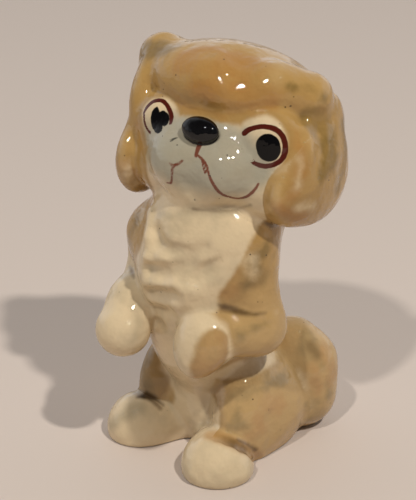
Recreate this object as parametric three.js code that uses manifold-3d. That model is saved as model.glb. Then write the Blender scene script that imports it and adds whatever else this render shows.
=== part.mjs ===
// Glazed pottery figurine of a small long-eared dog, sitting up on its haunches and begging.
// Millimetres, +Z up. The dog faces -Y and its left side is +X.
// The origin is on the flat underside of the torso, below the middle of the body.
//
// The figure is modelled as a potter would build it: soft lumps of clay are blended into a form,
// each form is one cast piece, and every piece is cut to sit against the piece that carries it.
import * as THREE from 'three';
import { mergeVertices } from 'three/addons/utils/BufferGeometryUtils.js';
import Module from 'manifold-3d';

const wasm = await Module();
wasm.setup();

// Joints, walls and openings
const jointGap = 0.3; // slip seam between two pieces
const shellWall = 3; // wall of the hollow torso and head
const baseThickness = 3.5; // floor of the hollow torso
const ventBore = 9; // vent hole in the base
const ventSetback = 11; // vent centre behind the origin
const neckBore = 14; // passage between the hollows of torso and head
const seatThickness = 3; // ledge in the head that rests on the neck rim
const tailLift = 0.8; // clear height under the tail

// Widths of the soft creases between blended lumps
const broadBlend = 6;
const mildBlend = 3.5;
const foldBlend = 2.6;
const slightBlend = 1.3;

// Torso. Widths run along X, depths along Y, heights along Z; a rise is the height of a centre
const neckWidth = 34;
const neckDepth = 37.6;
const neckHeight = 30;
const neckRise = 66;
const neckShift = 2; // the neck leans this far towards the dog's left, below the turned head,
const neckSetback = 1.8;
const rimAboveNeck = 7; // the flat neck rim lies this far above the neck's centre
const chestShift = 1.5; // and so does the chest
const chestWidth = 33.5;
const chestDepth = 34;
const chestHeight = 34;
const chestRise = 53;
const chestForward = 5;
const bellyWidth = 30;
const bellyDepth = 30;
const bellyHeight = 40;
const bellyRise = 36;
const bellyForward = 2;
const backWidth = 28;
const backDepth = 34;
const backHeight = 56;
const backRise = 48;
const backSetback = 3;
const rumpWidth = 46;
const rumpDepth = 36;
const rumpHeight = 38;
const rumpRise = 10;
const rumpSetback = 9;
const thighWidth = 18;
const thighLength = 34;
const thighHeight = 36;
const thighRise = 10;
const thighInset = 1.5; // how far the thigh's outer side lies inside the rump's
const thighSetback = 4;
const thighSplay = 8; // degrees
const thighLift = 12; // degrees
const rightThighTuck = 1; // the right thigh lies this much closer to the middle,
const rightThighBack = 0.5; // this much further back,
const rightThighUp = 2; // this much higher,
const rightThighTrim = 2.5; // and is this much shorter and lower

// Folds in the hair of the chest, each a row of places across and above the chest's centre
const foldSink = 1.2; // depth of a fold, near enough
const breastFold = [[-4.7, 12.6], [-2.7, 10.6], [1, 9.6], [3.5, 10], [7.1, 9.6], [10, 11.5]];
const upperFold = [[-4.7, 3], [-1, 3.4], [1.9, 4.2], [4.5, 5.4], [7.1, 6.8]];
const sideFold = [[6.1, 3.2], [9, 4], [11.1, 6], [12.5, 8.6]];
const middleFold = [[-5.1, -4.1], [-0.6, -3.1], [3.1, -1.8]];
const lowerFold = [[-6.1, -9.8], [-2.6, -9], [1.1, -7.6]];
const breastFoldRadius = 1;
const upperFoldRadius = 1.7;
const sideFoldRadius = 1.2;
const middleFoldRadius = 1.5;
const lowerFoldRadius = 1.2;

// Forelegs. The left one is held close to the chest, the right one hangs from a lower shoulder
const shoulderSink = 6; // shoulder centre inside the chest's side
const shoulderForward = 4;
const shoulderRise = 63;
const shoulderRadius = 9;
const elbowSink = 1.05; // elbow centre inside the chest's side
const elbowForward = 3;
const elbowRise = 39.6;
const elbowRadius = 7.4;
const wristSpread = 13;
const wristForward = 15;
const wristRise = 39.8;
const wristRadius = 6.5;
const pawSpread = 11;
const pawForward = 17.8;
const pawRise = 38.8;
const pawWidth = 14;
const pawDepth = 13;
const pawLength = 19;
const pawDroop = 20; // degrees that the paw hangs back
const rightShoulderOut = 4.75;
const rightShoulderDrop = 5.5;
const rightShoulderTrim = 0.7;
const rightElbowForward = 1;
const rightElbowLift = 5.9;
const rightWristLift = 1.8;
const rightPawOut = 0.4;
const rightPawForward = 4;
const rightPawDrop = 1.9;
const rightPawRadius = 7.2;

// Hind feet: each runs from a heel near the middle plane out to a broad toe end
const heelSpread = 4;
const heelForward = 3;
const heelRadius = 5;
const toeEndSpread = 14.4;
const toeEndForward = 15;
const toeEndWidth = 18.5;
const toeEndLength = 17;
const toeEndHeight = 11.5;
const toeRadius = 2.7;
const toeCount = 4;
const toeFan = 50; // degrees between the middle of the foot and its outermost toe
const rightToeOut = 0.1; // the right foot is turned out by this much more,
const rightToeBack = 3; // is set back by this much,
const rightToeTrim = 2.5; // and is this much narrower

// Tail: a fat plume that leaves the middle of the rump and rises behind the left haunch
const tailRootSpread = 6;
const tailRootSink = 2; // root centre inside the back of the rump
const tailRootRise = 11;
const tailRootRadius = 8;
const tailInset = 7.3; // the plume's axis inside the rump's side
const tailBehindRump = 11.5; // the plume's axis behind the rump's centre
const tailTipRise = 25;
const tailRadius = 8.5;
const tailTipRadius = 6.5;
const tailTipLean = 2; // the tip leans this far in towards the back

// Head: its frame has its origin at the middle of the skull and looks along -Y
const skullAboveRim = 12;
const headShift = 2.3; // skull centre to the dog's left of the middle plane
const headSetback = 7;
const headTurn = 10; // degrees towards the dog's left
const headLift = 22; // degrees nose up
const headTilt = 3; // degrees, left side down
const skullWidth = 46;
const skullDepth = 36;
const skullHeight = 40;
const capWidth = 47;
const capDepth = 36;
const capHeight = 24;
const capRise = 12;
const capShift = -1.6; // the cap of hair and its knobs sit off centre
const capFrontWidth = 38; // the fuller front of the cap
const capFrontDepth = 24;
const capFrontHeight = 17;
const capFrontForward = 7.5;
const knobInset = 2.7; // a knob's centre inside the cap's side
const knobForward = 4;
const knobRise = 15.5;
const knobRadius = 6.4;
const leftKnobDrop = 1.7; // the left knob sits this much lower
const browSpread = 3; // the brow is a roll from the middle of the face,
const browForward = 12.5;
const browRise = 9.8;
const browRadius = 5;
const archSpread = 12.7; // over an arch above each eye, to the knob
const archForward = 10.5;
const archRise = 11.5;
const archRadius = 4.6;
const leftArchLift = 3.5; // the left half of the brow arches this much higher
const eyeSpread = 14.5;
const eyeForward = 9;
const eyeRise = 0.8;
const eyeDome = 16; // diameter of the domed eye
const leftEyeLift = 1.2; // the left eye's dome sits this much higher
const leftEyeGrowth = 1.5; // and is this much larger
const cheekSpread = 13;
const cheekForward = 5;
const cheekDrop = 8;
const cheekWidth = 20;
const cheekHeight = 22;
const muzzleWidth = 28;
const muzzleDepth = 18;
const muzzleHeight = 19;
const muzzleForward = 12;
const muzzleDrop = 7;
const jowlSpread = 6;
const jowlAhead = 2; // a jowl's centre ahead of the muzzle's
const jowlBelow = 1; // and below it
const jowlRadius = 7.5;
const chinWidth = 15;
const chinDepth = 12;
const chinHeight = 10.5;
const chinDrop = 15;
const noseWidth = 10;
const noseHeight = 6.6;
const noseDepth = 5;
const noseSink = 0.5; // the nose's centre inside the muzzle's front
const noseShift = 0.5;
const noseRise = 0.3;

// Ears: flat lobes that hang from the knobs, a narrow upper part over a broad rounded tip
const earThickness = 10;
const earRootSink = 1.2; // root centre inside the skull's side
const earRootSetback = 2.5;
const earRootRise = 3.5;
const earRootBreadth = 23;
const earRootHeight = 26;
const earTipStand = 1.2; // tip centre outside the skull's side
const earTipSetback = 2;
const earTipDrop = 5;
const earTipBreadth = 31;
const earTipHeight = 23.5;
const flapSink = 1.4; // the left ear also has a flap that sweeps forward below the cheek
const flapForward = 3;
const flapDrop = 10.5;
const flapThickness = 9;
const flapBreadth = 26;
const flapHeight = 16;
const rightRootOut = 0.5; // the right ear's upper part stands this much further out,
const rightRootForward = 5.5; // this much further forward,
const rightRootLift = 2.5; // and this much higher,
const rightTipTuck = 1; // its tip lies this much closer to the head,
const rightTipForward = 3.5; // this much further forward,
const rightTipDrop = 5; // hangs this much lower,
const rightTipNarrowing = 7; // is this much narrower,
const rightTipTrim = 2.5; // and this much shorter

// Fineness of each cast skin
const torsoDetail = 12;
const headDetail = 11;
const hollowDetail = 5;
const limbDetail = 6;
const noseDetail = 3;
const chestFocus = 0.25; // how strongly the torso's vertices gather on the chest,
const faceFocus = 0.3; // and the head's on the face

// Glaze colours
const tanGlaze = 0xc79c5c;
const creamGlaze = 0xe6dcc2;
const blackGlaze = 0x0c0c10;
const glazeRoughness = 0.18;

// Places that follow from the sizes
const neckTop = neckRise + rimAboveNeck;
const headRise = neckTop + skullAboveRim;
const thighSpread = rumpWidth / 2 - thighInset - thighWidth / 2;
const chestSide = (side) => chestShift + (side * chestWidth) / 2;
const tailSpread = rumpWidth / 2 - tailInset;
const tailSetback = rumpSetback + tailBehindRump;
const tailRootSetback = rumpSetback + rumpDepth / 2 - tailRootSink;
const knobSpread = capWidth / 2 - knobInset;
const jowlForward = muzzleForward + jowlAhead;
const jowlDrop = muzzleDrop + jowlBelow;
const noseForward = muzzleForward + muzzleDepth / 2 - noseSink;
const earRootSpread = skullWidth / 2 - earRootSink;
const earTipSpread = skullWidth / 2 + earTipStand;

const radians = THREE.MathUtils.degToRad;
const point = (x, y, z) => new THREE.Vector3(x, y, z);
const both = (lump) => [lump(1), lump(-1)];

// A size that only one side has: the side is 1 on the left and -1 on the right
const onRight = (side, size) => (side < 0 ? size : 0);
const onLeft = (side, size) => (side > 0 ? size : 0);

// Signed distance, near enough, to an egg with the given centre, sizes and turn in radians
function egg(centre, sizes, turn = [0, 0, 0]) {
  const radii = point(...sizes).multiplyScalar(0.5);
  const unturn = new THREE.Matrix4().makeRotationFromEuler(new THREE.Euler(...turn)).invert();
  return (p) => {
    const q = p.clone().sub(centre).applyMatrix4(unturn);
    const outer = q.clone().divide(radii);
    const inner = outer.clone().divide(radii);
    const reach = outer.length();
    return (reach * (reach - 1)) / Math.max(inner.length(), 1e-6);
  };
}

// Signed distance to a limb that tapers between two balls
function limb(start, startRadius, end, endRadius) {
  const axis = end.clone().sub(start);
  return (p) => {
    const along = THREE.MathUtils.clamp(p.clone().sub(start).dot(axis) / axis.lengthSq(), 0, 1);
    const radius = THREE.MathUtils.lerp(startRadius, endRadius, along);
    return p.distanceTo(start.clone().addScaledVector(axis, along)) - radius;
  };
}

// Joins fields with a soft crease of the given width
function blend(width, ...fields) {
  return (p) => fields.map((field) => field(p)).reduce((a, b) => {
    const overlap = Math.max(width - Math.abs(a - b), 0) / width;
    return Math.min(a, b) - overlap * overlap * width * 0.25;
  });
}

// Cuts grooves with soft edges of the given width into a field
function carve(width, field, ...grooves) {
  const rest = blend(width, (p) => -field(p), ...grooves);
  return (p) => -rest(p);
}

// The point where a ray that starts inside a field crosses the given offset from its surface
function skinPoint(field, root, ray, offset = 0) {
  const stride = 0.5;
  const longest = 80;
  const halvings = 14;
  const height = (t) => field(root.clone().addScaledVector(ray, t)) - offset;
  let far = stride;
  while (far < longest && height(far) < 0) far += stride;
  let near = far - stride;
  for (let step = 0; step < halvings; step++) {
    const middle = (near + far) / 2;
    if (height(middle) < 0) near = middle;
    else far = middle;
  }
  return root.clone().addScaledVector(ray, near);
}

// Pushes the vertices of a fine ball outwards from a spine until they lie on the field's surface.
// A focus above zero gathers them towards the front, where the face and the chest are.
function cast(detail, spine, field, offset = 0, focus = 0) {
  const ball = new THREE.IcosahedronGeometry(1, detail);
  ball.deleteAttribute('normal');
  ball.deleteAttribute('uv');
  const skin = mergeVertices(ball, 1e-4);
  const vertices = skin.attributes.position;
  const up = point(0, 0, 1);
  for (let i = 0; i < vertices.count; i++) {
    const ray = new THREE.Vector3().fromBufferAttribute(vertices, i).normalize();
    ray.y -= focus;
    ray.normalize();
    const along = (ray.z + 1) / 2;
    const root = spine.getPoint(along);
    ray.applyQuaternion(new THREE.Quaternion().setFromUnitVectors(up, spine.getTangent(along)));
    const vertex = skinPoint(field, root, ray, offset);
    vertices.setXYZ(i, vertex.x, vertex.y, vertex.z);
  }
  return solid(skin);
}

// Closed geometry to solid, and back
function solid(geometry) {
  const bare = geometry.clone();
  bare.deleteAttribute('normal');
  bare.deleteAttribute('uv');
  const merged = mergeVertices(bare, 1e-5);
  return new wasm.Manifold(new wasm.Mesh({
    numProp: 3,
    vertProperties: new Float32Array(merged.attributes.position.array),
    triVerts: new Uint32Array(merged.index.array),
  }));
}

function surface(body) {
  const mesh = body.getMesh();
  const geometry = new THREE.BufferGeometry();
  geometry.setAttribute('position', new THREE.BufferAttribute(new Float32Array(mesh.vertProperties), 3));
  geometry.setIndex(new THREE.BufferAttribute(new Uint32Array(mesh.triVerts), 1));
  geometry.computeVertexNormals();
  return geometry;
}

// A block that fills everything below or above the given height
const blockSize = 400;
const block = () => new THREE.BoxGeometry(blockSize, blockSize, blockSize);
const below = (height) => solid(block().translate(0, 0, height - blockSize / 2));
const above = (height) => solid(block().translate(0, 0, height + blockSize / 2));

// A block that fills everything on the other side of the middle plane, and half a joint more
function acrossMiddle(side) {
  return solid(block().translate((side * (jointGap - blockSize)) / 2, 0, 0));
}

// An upright bore between two heights
function bore(diameter, x, y, low, high) {
  const sides = 24;
  const cylinder = new THREE.CylinderGeometry(diameter / 2, diameter / 2, high - low, sides);
  return solid(cylinder.rotateX(Math.PI / 2).translate(x, y, (low + high) / 2));
}

// The head's place on the body
const headFrame = new THREE.Group();
headFrame.position.set(headShift, headSetback, headRise);
headFrame.rotation.set(radians(-headLift), radians(headTilt), radians(headTurn), 'ZXY');
headFrame.updateMatrix();
const bodyToHead = headFrame.matrix.clone().invert();
const inHead = (body) => solid(surface(body).applyMatrix4(bodyToHead));
const inBody = (body) => solid(surface(body).applyMatrix4(headFrame.matrix));

// Torso
const trunk = blend(
  broadBlend,
  egg(point(neckShift, neckSetback, neckRise), [neckWidth, neckDepth, neckHeight]),
  egg(point(chestShift, -chestForward, chestRise), [chestWidth, chestDepth, chestHeight]),
  egg(point(0, -bellyForward, bellyRise), [bellyWidth, bellyDepth, bellyHeight]),
  egg(point(0, backSetback, backRise), [backWidth, backDepth, backHeight]),
  egg(point(0, rumpSetback, rumpRise), [rumpWidth, rumpDepth, rumpHeight]),
);

function thigh(side) {
  const centre = point(
    side * (thighSpread - onRight(side, rightThighTuck)),
    thighSetback + onRight(side, rightThighBack),
    thighRise + onRight(side, rightThighUp),
  );
  const trim = onRight(side, rightThighTrim);
  const sizes = [thighWidth, thighLength - trim, thighHeight - trim];
  return egg(centre, sizes, [radians(thighLift), 0, side * radians(thighSplay)]);
}

// A fold is a row of limbs that lie along the skin of the chest
function fold(places, radius) {
  const along = places.map(([across, up]) => {
    const behind = point(chestShift + across, -chestForward, chestRise + up);
    const place = skinPoint(trunk, behind, point(0, -1, 0));
    place.y += foldSink - radius;
    return place;
  });
  return along.slice(1).map((end, i) => limb(along[i], radius, end, radius));
}

const torsoField = carve(
  foldBlend,
  blend(mildBlend, trunk, ...both(thigh)),
  ...fold(breastFold, breastFoldRadius),
  ...fold(upperFold, upperFoldRadius),
  ...fold(sideFold, sideFoldRadius),
  ...fold(middleFold, middleFoldRadius),
  ...fold(lowerFold, lowerFoldRadius),
);
const torsoSpine = new THREE.CatmullRomCurve3([
  point(0, neckSetback / 2, rumpRise * 0.8),
  point(0, -bellyForward / 2, bellyRise),
  point(neckShift / 2, -bellyForward / 2, neckRise),
]);

function torsoCast(offset) {
  return cast(torsoDetail, torsoSpine, torsoField, offset, chestFocus).subtract(above(neckTop + offset));
}

const torsoGrown = torsoCast(jointGap);
const torsoInHead = inHead(torsoGrown);

// The passage runs from the torso's hollow through the neck rim and the head's seat
function passage() {
  const overrun = 2;
  const low = neckTop - shellWall - overrun;
  const high = neckTop + jointGap + seatThickness + overrun;
  return bore(neckBore, headShift / 2, headSetback / 2, low, high);
}

function torso() {
  const overrun = 1;
  const hollow = cast(hollowDetail, torsoSpine, torsoField, -shellWall)
    .subtract(below(baseThickness))
    .subtract(above(neckTop - shellWall));
  const vent = bore(ventBore, 0, ventSetback, -overrun, baseThickness + overrun);
  return surface(torsoCast(0).subtract(below(0)).subtract(hollow).subtract(vent).subtract(passage()));
}

// Head
const cheek = (side) => egg(
  point(side * cheekSpread, -cheekForward, -cheekDrop),
  [cheekWidth, cheekWidth, cheekHeight],
);
const eye = (side) => {
  const dome = eyeDome + onLeft(side, leftEyeGrowth);
  return egg(point(side * eyeSpread, -eyeForward, eyeRise + onLeft(side, leftEyeLift)), [dome, dome, dome]);
};
const jowl = (side) => egg(
  point(side * jowlSpread, -jowlForward, -jowlDrop),
  [jowlRadius * 2, jowlRadius * 2, jowlRadius * 2],
);
function brow(side) {
  const middle = point(side * browSpread, -browForward, browRise);
  const arch = point(side * archSpread, -archForward, archRise + onLeft(side, leftArchLift));
  const knob = point(capShift + side * knobSpread, -knobForward, knobRise - onLeft(side, leftKnobDrop));
  return blend(
    mildBlend,
    limb(middle, browRadius, arch, archRadius),
    limb(arch, archRadius, knob, knobRadius),
  );
}

const skull = egg(point(0, 0, 0), [skullWidth, skullDepth, skullHeight]);
const muzzle = blend(
  mildBlend,
  egg(point(0, -muzzleForward, -muzzleDrop), [muzzleWidth, muzzleDepth, muzzleHeight]),
  ...both(jowl),
  egg(point(0, -muzzleForward, -chinDrop), [chinWidth, chinDepth, chinHeight]),
);
const cap = blend(
  mildBlend,
  egg(point(capShift, 0, capRise), [capWidth, capDepth, capHeight]),
  egg(point(capShift, -capFrontForward, capRise), [capFrontWidth, capFrontDepth, capFrontHeight]),
  ...both(brow),
);
const headField = blend(slightBlend, blend(mildBlend, skull, ...both(cheek), ...both(eye), muzzle), cap);
const headSpine = new THREE.LineCurve3(point(0, 0, -skullHeight * 0.075), point(0, 0, skullHeight * 0.125));
const headCast = (offset) => cast(headDetail, headSpine, headField, offset, faceFocus);
const headGrown = headCast(jointGap);
const headInBody = inBody(headGrown);

function head() {
  const seat = inHead(below(neckTop + jointGap + seatThickness));
  const hollow = cast(hollowDetail, headSpine, headField, -shellWall).subtract(seat);
  return surface(headCast(0).subtract(torsoInHead).subtract(hollow).subtract(inHead(passage())));
}

// Nose
function nose() {
  const halfSpine = 0.5;
  const pad = egg(point(noseShift, -noseForward, noseRise), [noseWidth, noseDepth, noseHeight]);
  const spine = new THREE.LineCurve3(
    point(noseShift, -noseForward, noseRise - halfSpine),
    point(noseShift, -noseForward, noseRise + halfSpine),
  );
  return surface(cast(noseDetail, spine, pad).subtract(headGrown));
}

// Forelegs, each cast in two lengths that meet at the elbow
function forelegCast(side, offset) {
  const shoulder = point(
    chestSide(side) - side * (shoulderSink - onRight(side, rightShoulderOut)),
    -shoulderForward,
    shoulderRise - onRight(side, rightShoulderDrop),
  );
  const elbow = point(
    chestSide(side) - side * elbowSink,
    -elbowForward - onRight(side, rightElbowForward),
    elbowRise + onRight(side, rightElbowLift),
  );
  const wrist = point(side * wristSpread, -wristForward, wristRise + onRight(side, rightWristLift));
  const paw = point(
    side * (pawSpread + onRight(side, rightPawOut)),
    -pawForward - onRight(side, rightPawForward),
    pawRise - onRight(side, rightPawDrop),
  );
  const field = blend(
    mildBlend,
    limb(shoulder, shoulderRadius - onRight(side, rightShoulderTrim), elbow, elbowRadius),
    limb(elbow, elbowRadius, wrist, wristRadius),
    side > 0
      ? egg(paw, [pawWidth, pawDepth, pawLength], [-radians(pawDroop), 0, 0])
      : limb(wrist, wristRadius, paw, rightPawRadius),
  );
  const upper = cast(limbDetail, new THREE.LineCurve3(elbow, shoulder), field, offset);
  const lower = cast(limbDetail, new THREE.LineCurve3(paw, elbow), field, offset);
  return upper.add(lower);
}

function foreleg(side) {
  return surface(forelegCast(side, 0).subtract(torsoGrown).subtract(headInBody));
}

// Ears
function ear(side) {
  const root = point(
    side * (earRootSpread + onRight(side, rightRootOut)),
    earRootSetback - onRight(side, rightRootForward),
    earRootRise + onRight(side, rightRootLift),
  );
  const tip = point(
    side * (earTipSpread - onRight(side, rightTipTuck)),
    earTipSetback - onRight(side, rightTipForward),
    -earTipDrop - onRight(side, rightTipDrop),
  );
  const flap = point(side * (skullWidth / 2 - flapSink), -flapForward, -flapDrop);
  const narrowing = onRight(side, rightTipNarrowing);
  const trim = onRight(side, rightTipTrim);
  const lobe = blend(
    mildBlend,
    egg(root, [earThickness, earRootBreadth, earRootHeight]),
    egg(tip, [earThickness, earTipBreadth - narrowing, earTipHeight - trim]),
    ...(side > 0 ? [egg(flap, [flapThickness, flapBreadth, flapHeight])] : []),
  );
  return surface(cast(limbDetail, new THREE.LineCurve3(tip, root), lobe)
    .subtract(headGrown)
    .subtract(torsoInHead)
    .subtract(inHead(forelegCast(side, jointGap))));
}

// Hind feet
function hindFoot(side) {
  const heel = point(side * heelSpread, -heelForward, heelRadius * 0.7);
  const ball = point(
    side * (toeEndSpread + onRight(side, rightToeOut)),
    -toeEndForward + onRight(side, rightToeBack),
    toeEndHeight * 0.2,
  );
  const width = toeEndWidth - onRight(side, rightToeTrim);
  const heading = Math.atan2(ball.x - heel.x, heel.y - ball.y);
  const forward = point(Math.sin(heading), -Math.cos(heading), 0);
  const across = point(Math.cos(heading), Math.sin(heading), 0);
  const toes = [];
  for (let toe = 0; toe < toeCount; toe++) {
    const share = (2 * toe) / (toeCount - 1) - 1;
    const centre = ball.clone()
      .addScaledVector(across, share * (width / 2 - toeRadius * 1.3))
      .addScaledVector(forward, (toeEndLength / 2 - toeRadius) * Math.cos(share * radians(toeFan)))
      .setZ(toeRadius);
    toes.push(egg(centre, [toeRadius * 2, toeRadius * 2.4, toeRadius * 2.4], [0, 0, heading]));
  }
  const sole = blend(
    broadBlend,
    egg(ball, [width, toeEndLength, toeEndHeight * 1.6], [0, 0, heading]),
    limb(heel, heelRadius, ball, toeEndHeight * 0.55),
  );
  const spine = new THREE.LineCurve3(
    heel.clone().lerp(ball, 0.9).setZ(toeEndHeight * 0.2),
    heel.clone().lerp(ball, 0.6).setZ(toeEndHeight * 0.4),
  );
  return surface(cast(limbDetail, spine, blend(slightBlend, sole, ...toes))
    .subtract(below(0))
    .subtract(acrossMiddle(side))
    .subtract(torsoGrown));
}

// Tail
function tail() {
  const root = point(tailRootSpread, tailRootSetback, tailRootRise);
  const low = point(tailSpread, tailSetback, tailLift + tailRadius);
  const top = point(tailSpread, tailSetback, tailTipRise - tailTipRadius);
  const tip = point(tailSpread - tailTipLean, tailSetback - tailTipLean, tailTipRise);
  const field = blend(
    broadBlend,
    limb(root, tailRootRadius, low, tailRadius),
    limb(low, tailRadius, top, tailRadius),
    limb(top, tailRadius, tip, tailTipRadius),
  );
  const plume = cast(limbDetail, new THREE.LineCurve3(low.clone().lerp(root, 0.4), top), field);
  return surface(plume.subtract(below(tailLift)).subtract(torsoGrown));
}

function piece(name, geometry, colour) {
  const material = new THREE.MeshStandardMaterial({ color: colour, roughness: glazeRoughness, metalness: 0 });
  const mesh = new THREE.Mesh(geometry, material);
  mesh.name = name;
  return mesh;
}

const dog = new THREE.Group();
dog.add(piece('torso', torso(), creamGlaze));
dog.add(piece('left_foreleg', foreleg(1), tanGlaze));
dog.add(piece('right_foreleg', foreleg(-1), creamGlaze));
dog.add(piece('left_hind_foot', hindFoot(1), creamGlaze));
dog.add(piece('right_hind_foot', hindFoot(-1), creamGlaze));
dog.add(piece('tail', tail(), tanGlaze));
headFrame.add(piece('head', head(), tanGlaze));
headFrame.add(piece('left_ear', ear(1), tanGlaze));
headFrame.add(piece('right_ear', ear(-1), tanGlaze));
headFrame.add(piece('nose', nose(), blackGlaze));
dog.add(headFrame);

export default dog;
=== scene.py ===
import math

import bmesh
import bpy
import numpy as np
from bpy.props import FloatProperty, FloatVectorProperty, PointerProperty
from mathutils import Matrix, Vector


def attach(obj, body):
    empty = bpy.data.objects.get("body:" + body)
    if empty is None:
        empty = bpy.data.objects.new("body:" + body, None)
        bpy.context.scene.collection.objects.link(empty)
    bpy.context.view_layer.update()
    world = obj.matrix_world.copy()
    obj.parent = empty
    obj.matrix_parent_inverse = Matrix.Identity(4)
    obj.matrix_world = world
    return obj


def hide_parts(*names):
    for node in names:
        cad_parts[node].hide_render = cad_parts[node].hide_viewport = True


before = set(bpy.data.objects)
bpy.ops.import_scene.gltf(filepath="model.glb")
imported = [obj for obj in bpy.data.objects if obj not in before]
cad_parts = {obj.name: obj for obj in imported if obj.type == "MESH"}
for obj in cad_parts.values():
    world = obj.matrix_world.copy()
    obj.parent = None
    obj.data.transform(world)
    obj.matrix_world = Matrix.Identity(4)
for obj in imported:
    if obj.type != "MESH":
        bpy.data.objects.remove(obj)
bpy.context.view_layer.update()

bl_info = {
    "name": "Begging dog figurine",
    "version": (1, 0, 0),
    "blender": (4, 5, 0),
    "location": "View3D > Sidebar > Figurine",
    "description": "Shapes, glazes and paints a pottery dog that sits up and begs",
    "category": "Object",
}

BODY = "root"
MM = 0.001
SIDES = {"left": 1, "right": -1}

# Lumps of clay. All sizes are in millimetres: the dog faces -Y and its left side is +X.

# How finely the shell of a lump is divided, and how many balls make up a limb
SHELL_DETAIL = 4
BALLS_IN_LIMB = 6
TINY = 1e-6


def turn(x=0.0, y=0.0, z=0.0, order="XYZ"):
    """Turns about the three axes, in degrees, the last named axis first."""
    angles = {"X": x, "Y": y, "Z": z}
    total = Matrix.Identity(3)
    for axis in order:
        total = total @ Matrix.Rotation(math.radians(angles[axis]), 3, axis)
    return np.array(total)


class Egg:
    """An egg-shaped lump: its signed distance, near enough, and its shell."""

    def __init__(self, centre, sizes, turned=np.eye(3)):
        self.centre = np.array(centre, float)
        self.radii = np.array(sizes, float) / 2
        self.turned = turned

    def __call__(self, points):
        outer = (points - self.centre) @ self.turned / self.radii
        reach = np.linalg.norm(outer, axis=1)
        slope = np.linalg.norm(outer / self.radii, axis=1)
        return reach * (reach - 1) / np.maximum(slope, TINY)

    def on_head(self):
        return Egg(HEAD_PLACE + HEAD_TURN @ self.centre, self.radii * 2, HEAD_TURN @ self.turned)

    def shell(self, clay):
        scale = Matrix.Diagonal([*(self.radii * MM), 1])
        place = Matrix.Translation(self.centre * MM) @ Matrix(self.turned.tolist()).to_4x4() @ scale
        bmesh.ops.create_icosphere(clay, subdivisions=SHELL_DETAIL, radius=1, matrix=place)


class Limb:
    """A limb that tapers between two balls."""

    def __init__(self, start, start_radius, end, end_radius):
        self.start, self.end = np.array(start, float), np.array(end, float)
        self.radii = (start_radius, end_radius)

    def radius_at(self, along):
        return self.radii[0] + (self.radii[1] - self.radii[0]) * along

    def __call__(self, points):
        axis = self.end - self.start
        along = np.clip((points - self.start) @ axis / (axis @ axis), 0, 1)
        return np.linalg.norm(points - self.start - along[:, None] * axis, axis=1) - self.radius_at(along)

    def on_head(self):
        start, end = (HEAD_PLACE + HEAD_TURN @ place for place in (self.start, self.end))
        return Limb(start, self.radii[0], end, self.radii[1])

    def shell(self, clay):
        for along in np.linspace(0, 1, BALLS_IN_LIMB):
            place = Matrix.Translation((self.start + (self.end - self.start) * along) * MM)
            radius = self.radius_at(along) * MM
            bmesh.ops.create_icosphere(clay, subdivisions=SHELL_DETAIL, radius=radius, matrix=place)


def limbs_along(places, radius):
    """A row of limbs of one radius through the given places."""
    return [Limb(start, radius, end, radius) for start, end in zip(places, places[1:])]


def distances_to(lumps, points):
    return [lump(points) for lump in lumps]


def blend(width, *distances):
    """Joins lumps with a soft crease of the given width."""
    total = distances[0]
    for distance in distances[1:]:
        overlap = np.maximum(width - np.abs(total - distance), 0) / width
        total = np.minimum(total, distance) - overlap**2 * width / 4
    return total


def carve(width, total, *grooves):
    """Cuts grooves with soft edges of the given width."""
    return -blend(width, -total, *grooves)


def rise(low, high, value):
    """A soft step from 0 at low to 1 at high."""
    t = np.clip((value - low) / (high - low), 0, 1)
    return t * t * (3 - 2 * t)


# Head: its own frame has its origin at the middle of the skull and looks along -Y

HEAD_PLACE = np.array([2.3, 7.0, 85.0])
HEAD_TURN = turn(-22, 3, 10, "ZXY")
CAP_SHIFT = -1.6


def to_head(points):
    return (points - HEAD_PLACE) @ HEAD_TURN


def on_body(place):
    """From the head's own frame to the body's."""
    return HEAD_PLACE + place @ HEAD_TURN.T


def head_lumps():
    """The lumps of the face, of the muzzle and of the cap of hair over them."""
    skull = Egg((0, 0, 0), (46, 36, 40))
    cheeks = [Egg((side * 13, -5, -8), (20, 20, 22)) for side in SIDES.values()]
    left_eye = Egg((14.5, -9, 2), (17.5, 17.5, 17.5))
    right_eye = Egg((-14.5, -9, 0.8), (16, 16, 16))
    snout = Egg((0, -12, -7), (28, 18, 19))
    chin = Egg((0, -12, -15), (15, 12, 10.5))
    lips = [Egg((side * 6, -14, -8), (15, 15, 15)) for side in SIDES.values()]
    crown = Egg((CAP_SHIFT, 0, 12), (47, 36, 24))
    fringe = Egg((CAP_SHIFT, -7.5, 12), (38, 24, 17))
    brows = []
    for side, arch_rise, knob_rise in ((1, 15, 13.8), (-1, 11.5, 15.5)):
        arch, arch_radius = (side * 12.7, -10.5, arch_rise), 4.6
        knob, knob_radius = (CAP_SHIFT + side * 20.8, -4, knob_rise), 6.4
        brows.append(Limb((side * 3, -12.5, 9.8), 5, arch, arch_radius))
        brows.append(Limb(arch, arch_radius, knob, knob_radius))
    groups = ([skull, *cheeks, left_eye, right_eye], [snout, chin, *lips], [crown, fringe, *brows])
    return [[lump.on_head() for lump in lumps] for lumps in groups]


def ear_lumps(side):
    """The lumps of a hanging ear, from its root to its tip."""
    if side > 0:
        root = Egg((21.8, 2.5, 3.5), (10, 23, 26))
        flap = Egg((24.2, 2, -5), (10, 31, 23.5))
        tip = Egg((21.6, -3, -10.5), (9, 26, 16))
        lumps = [root, flap, tip]
    else:
        root = Egg((-22.3, -3, 6), (10, 23, 26))
        tip = Egg((-23.2, -1.5, -10), (10, 24, 21))
        lumps = [root, tip]
    return [lump.on_head() for lump in lumps]


def trunk_lumps():
    shoulders = Egg((2, 1.8, 66), (34, 37.6, 30))
    chest = Egg((1.5, -5, 53), (33.5, 34, 34))
    belly = Egg((0, -2, 36), (30, 30, 40))
    back = Egg((0, 3, 48), (28, 34, 56))
    rump = Egg((0, 9, 10), (46, 36, 38))
    return [shoulders, chest, belly, back, rump]


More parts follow.
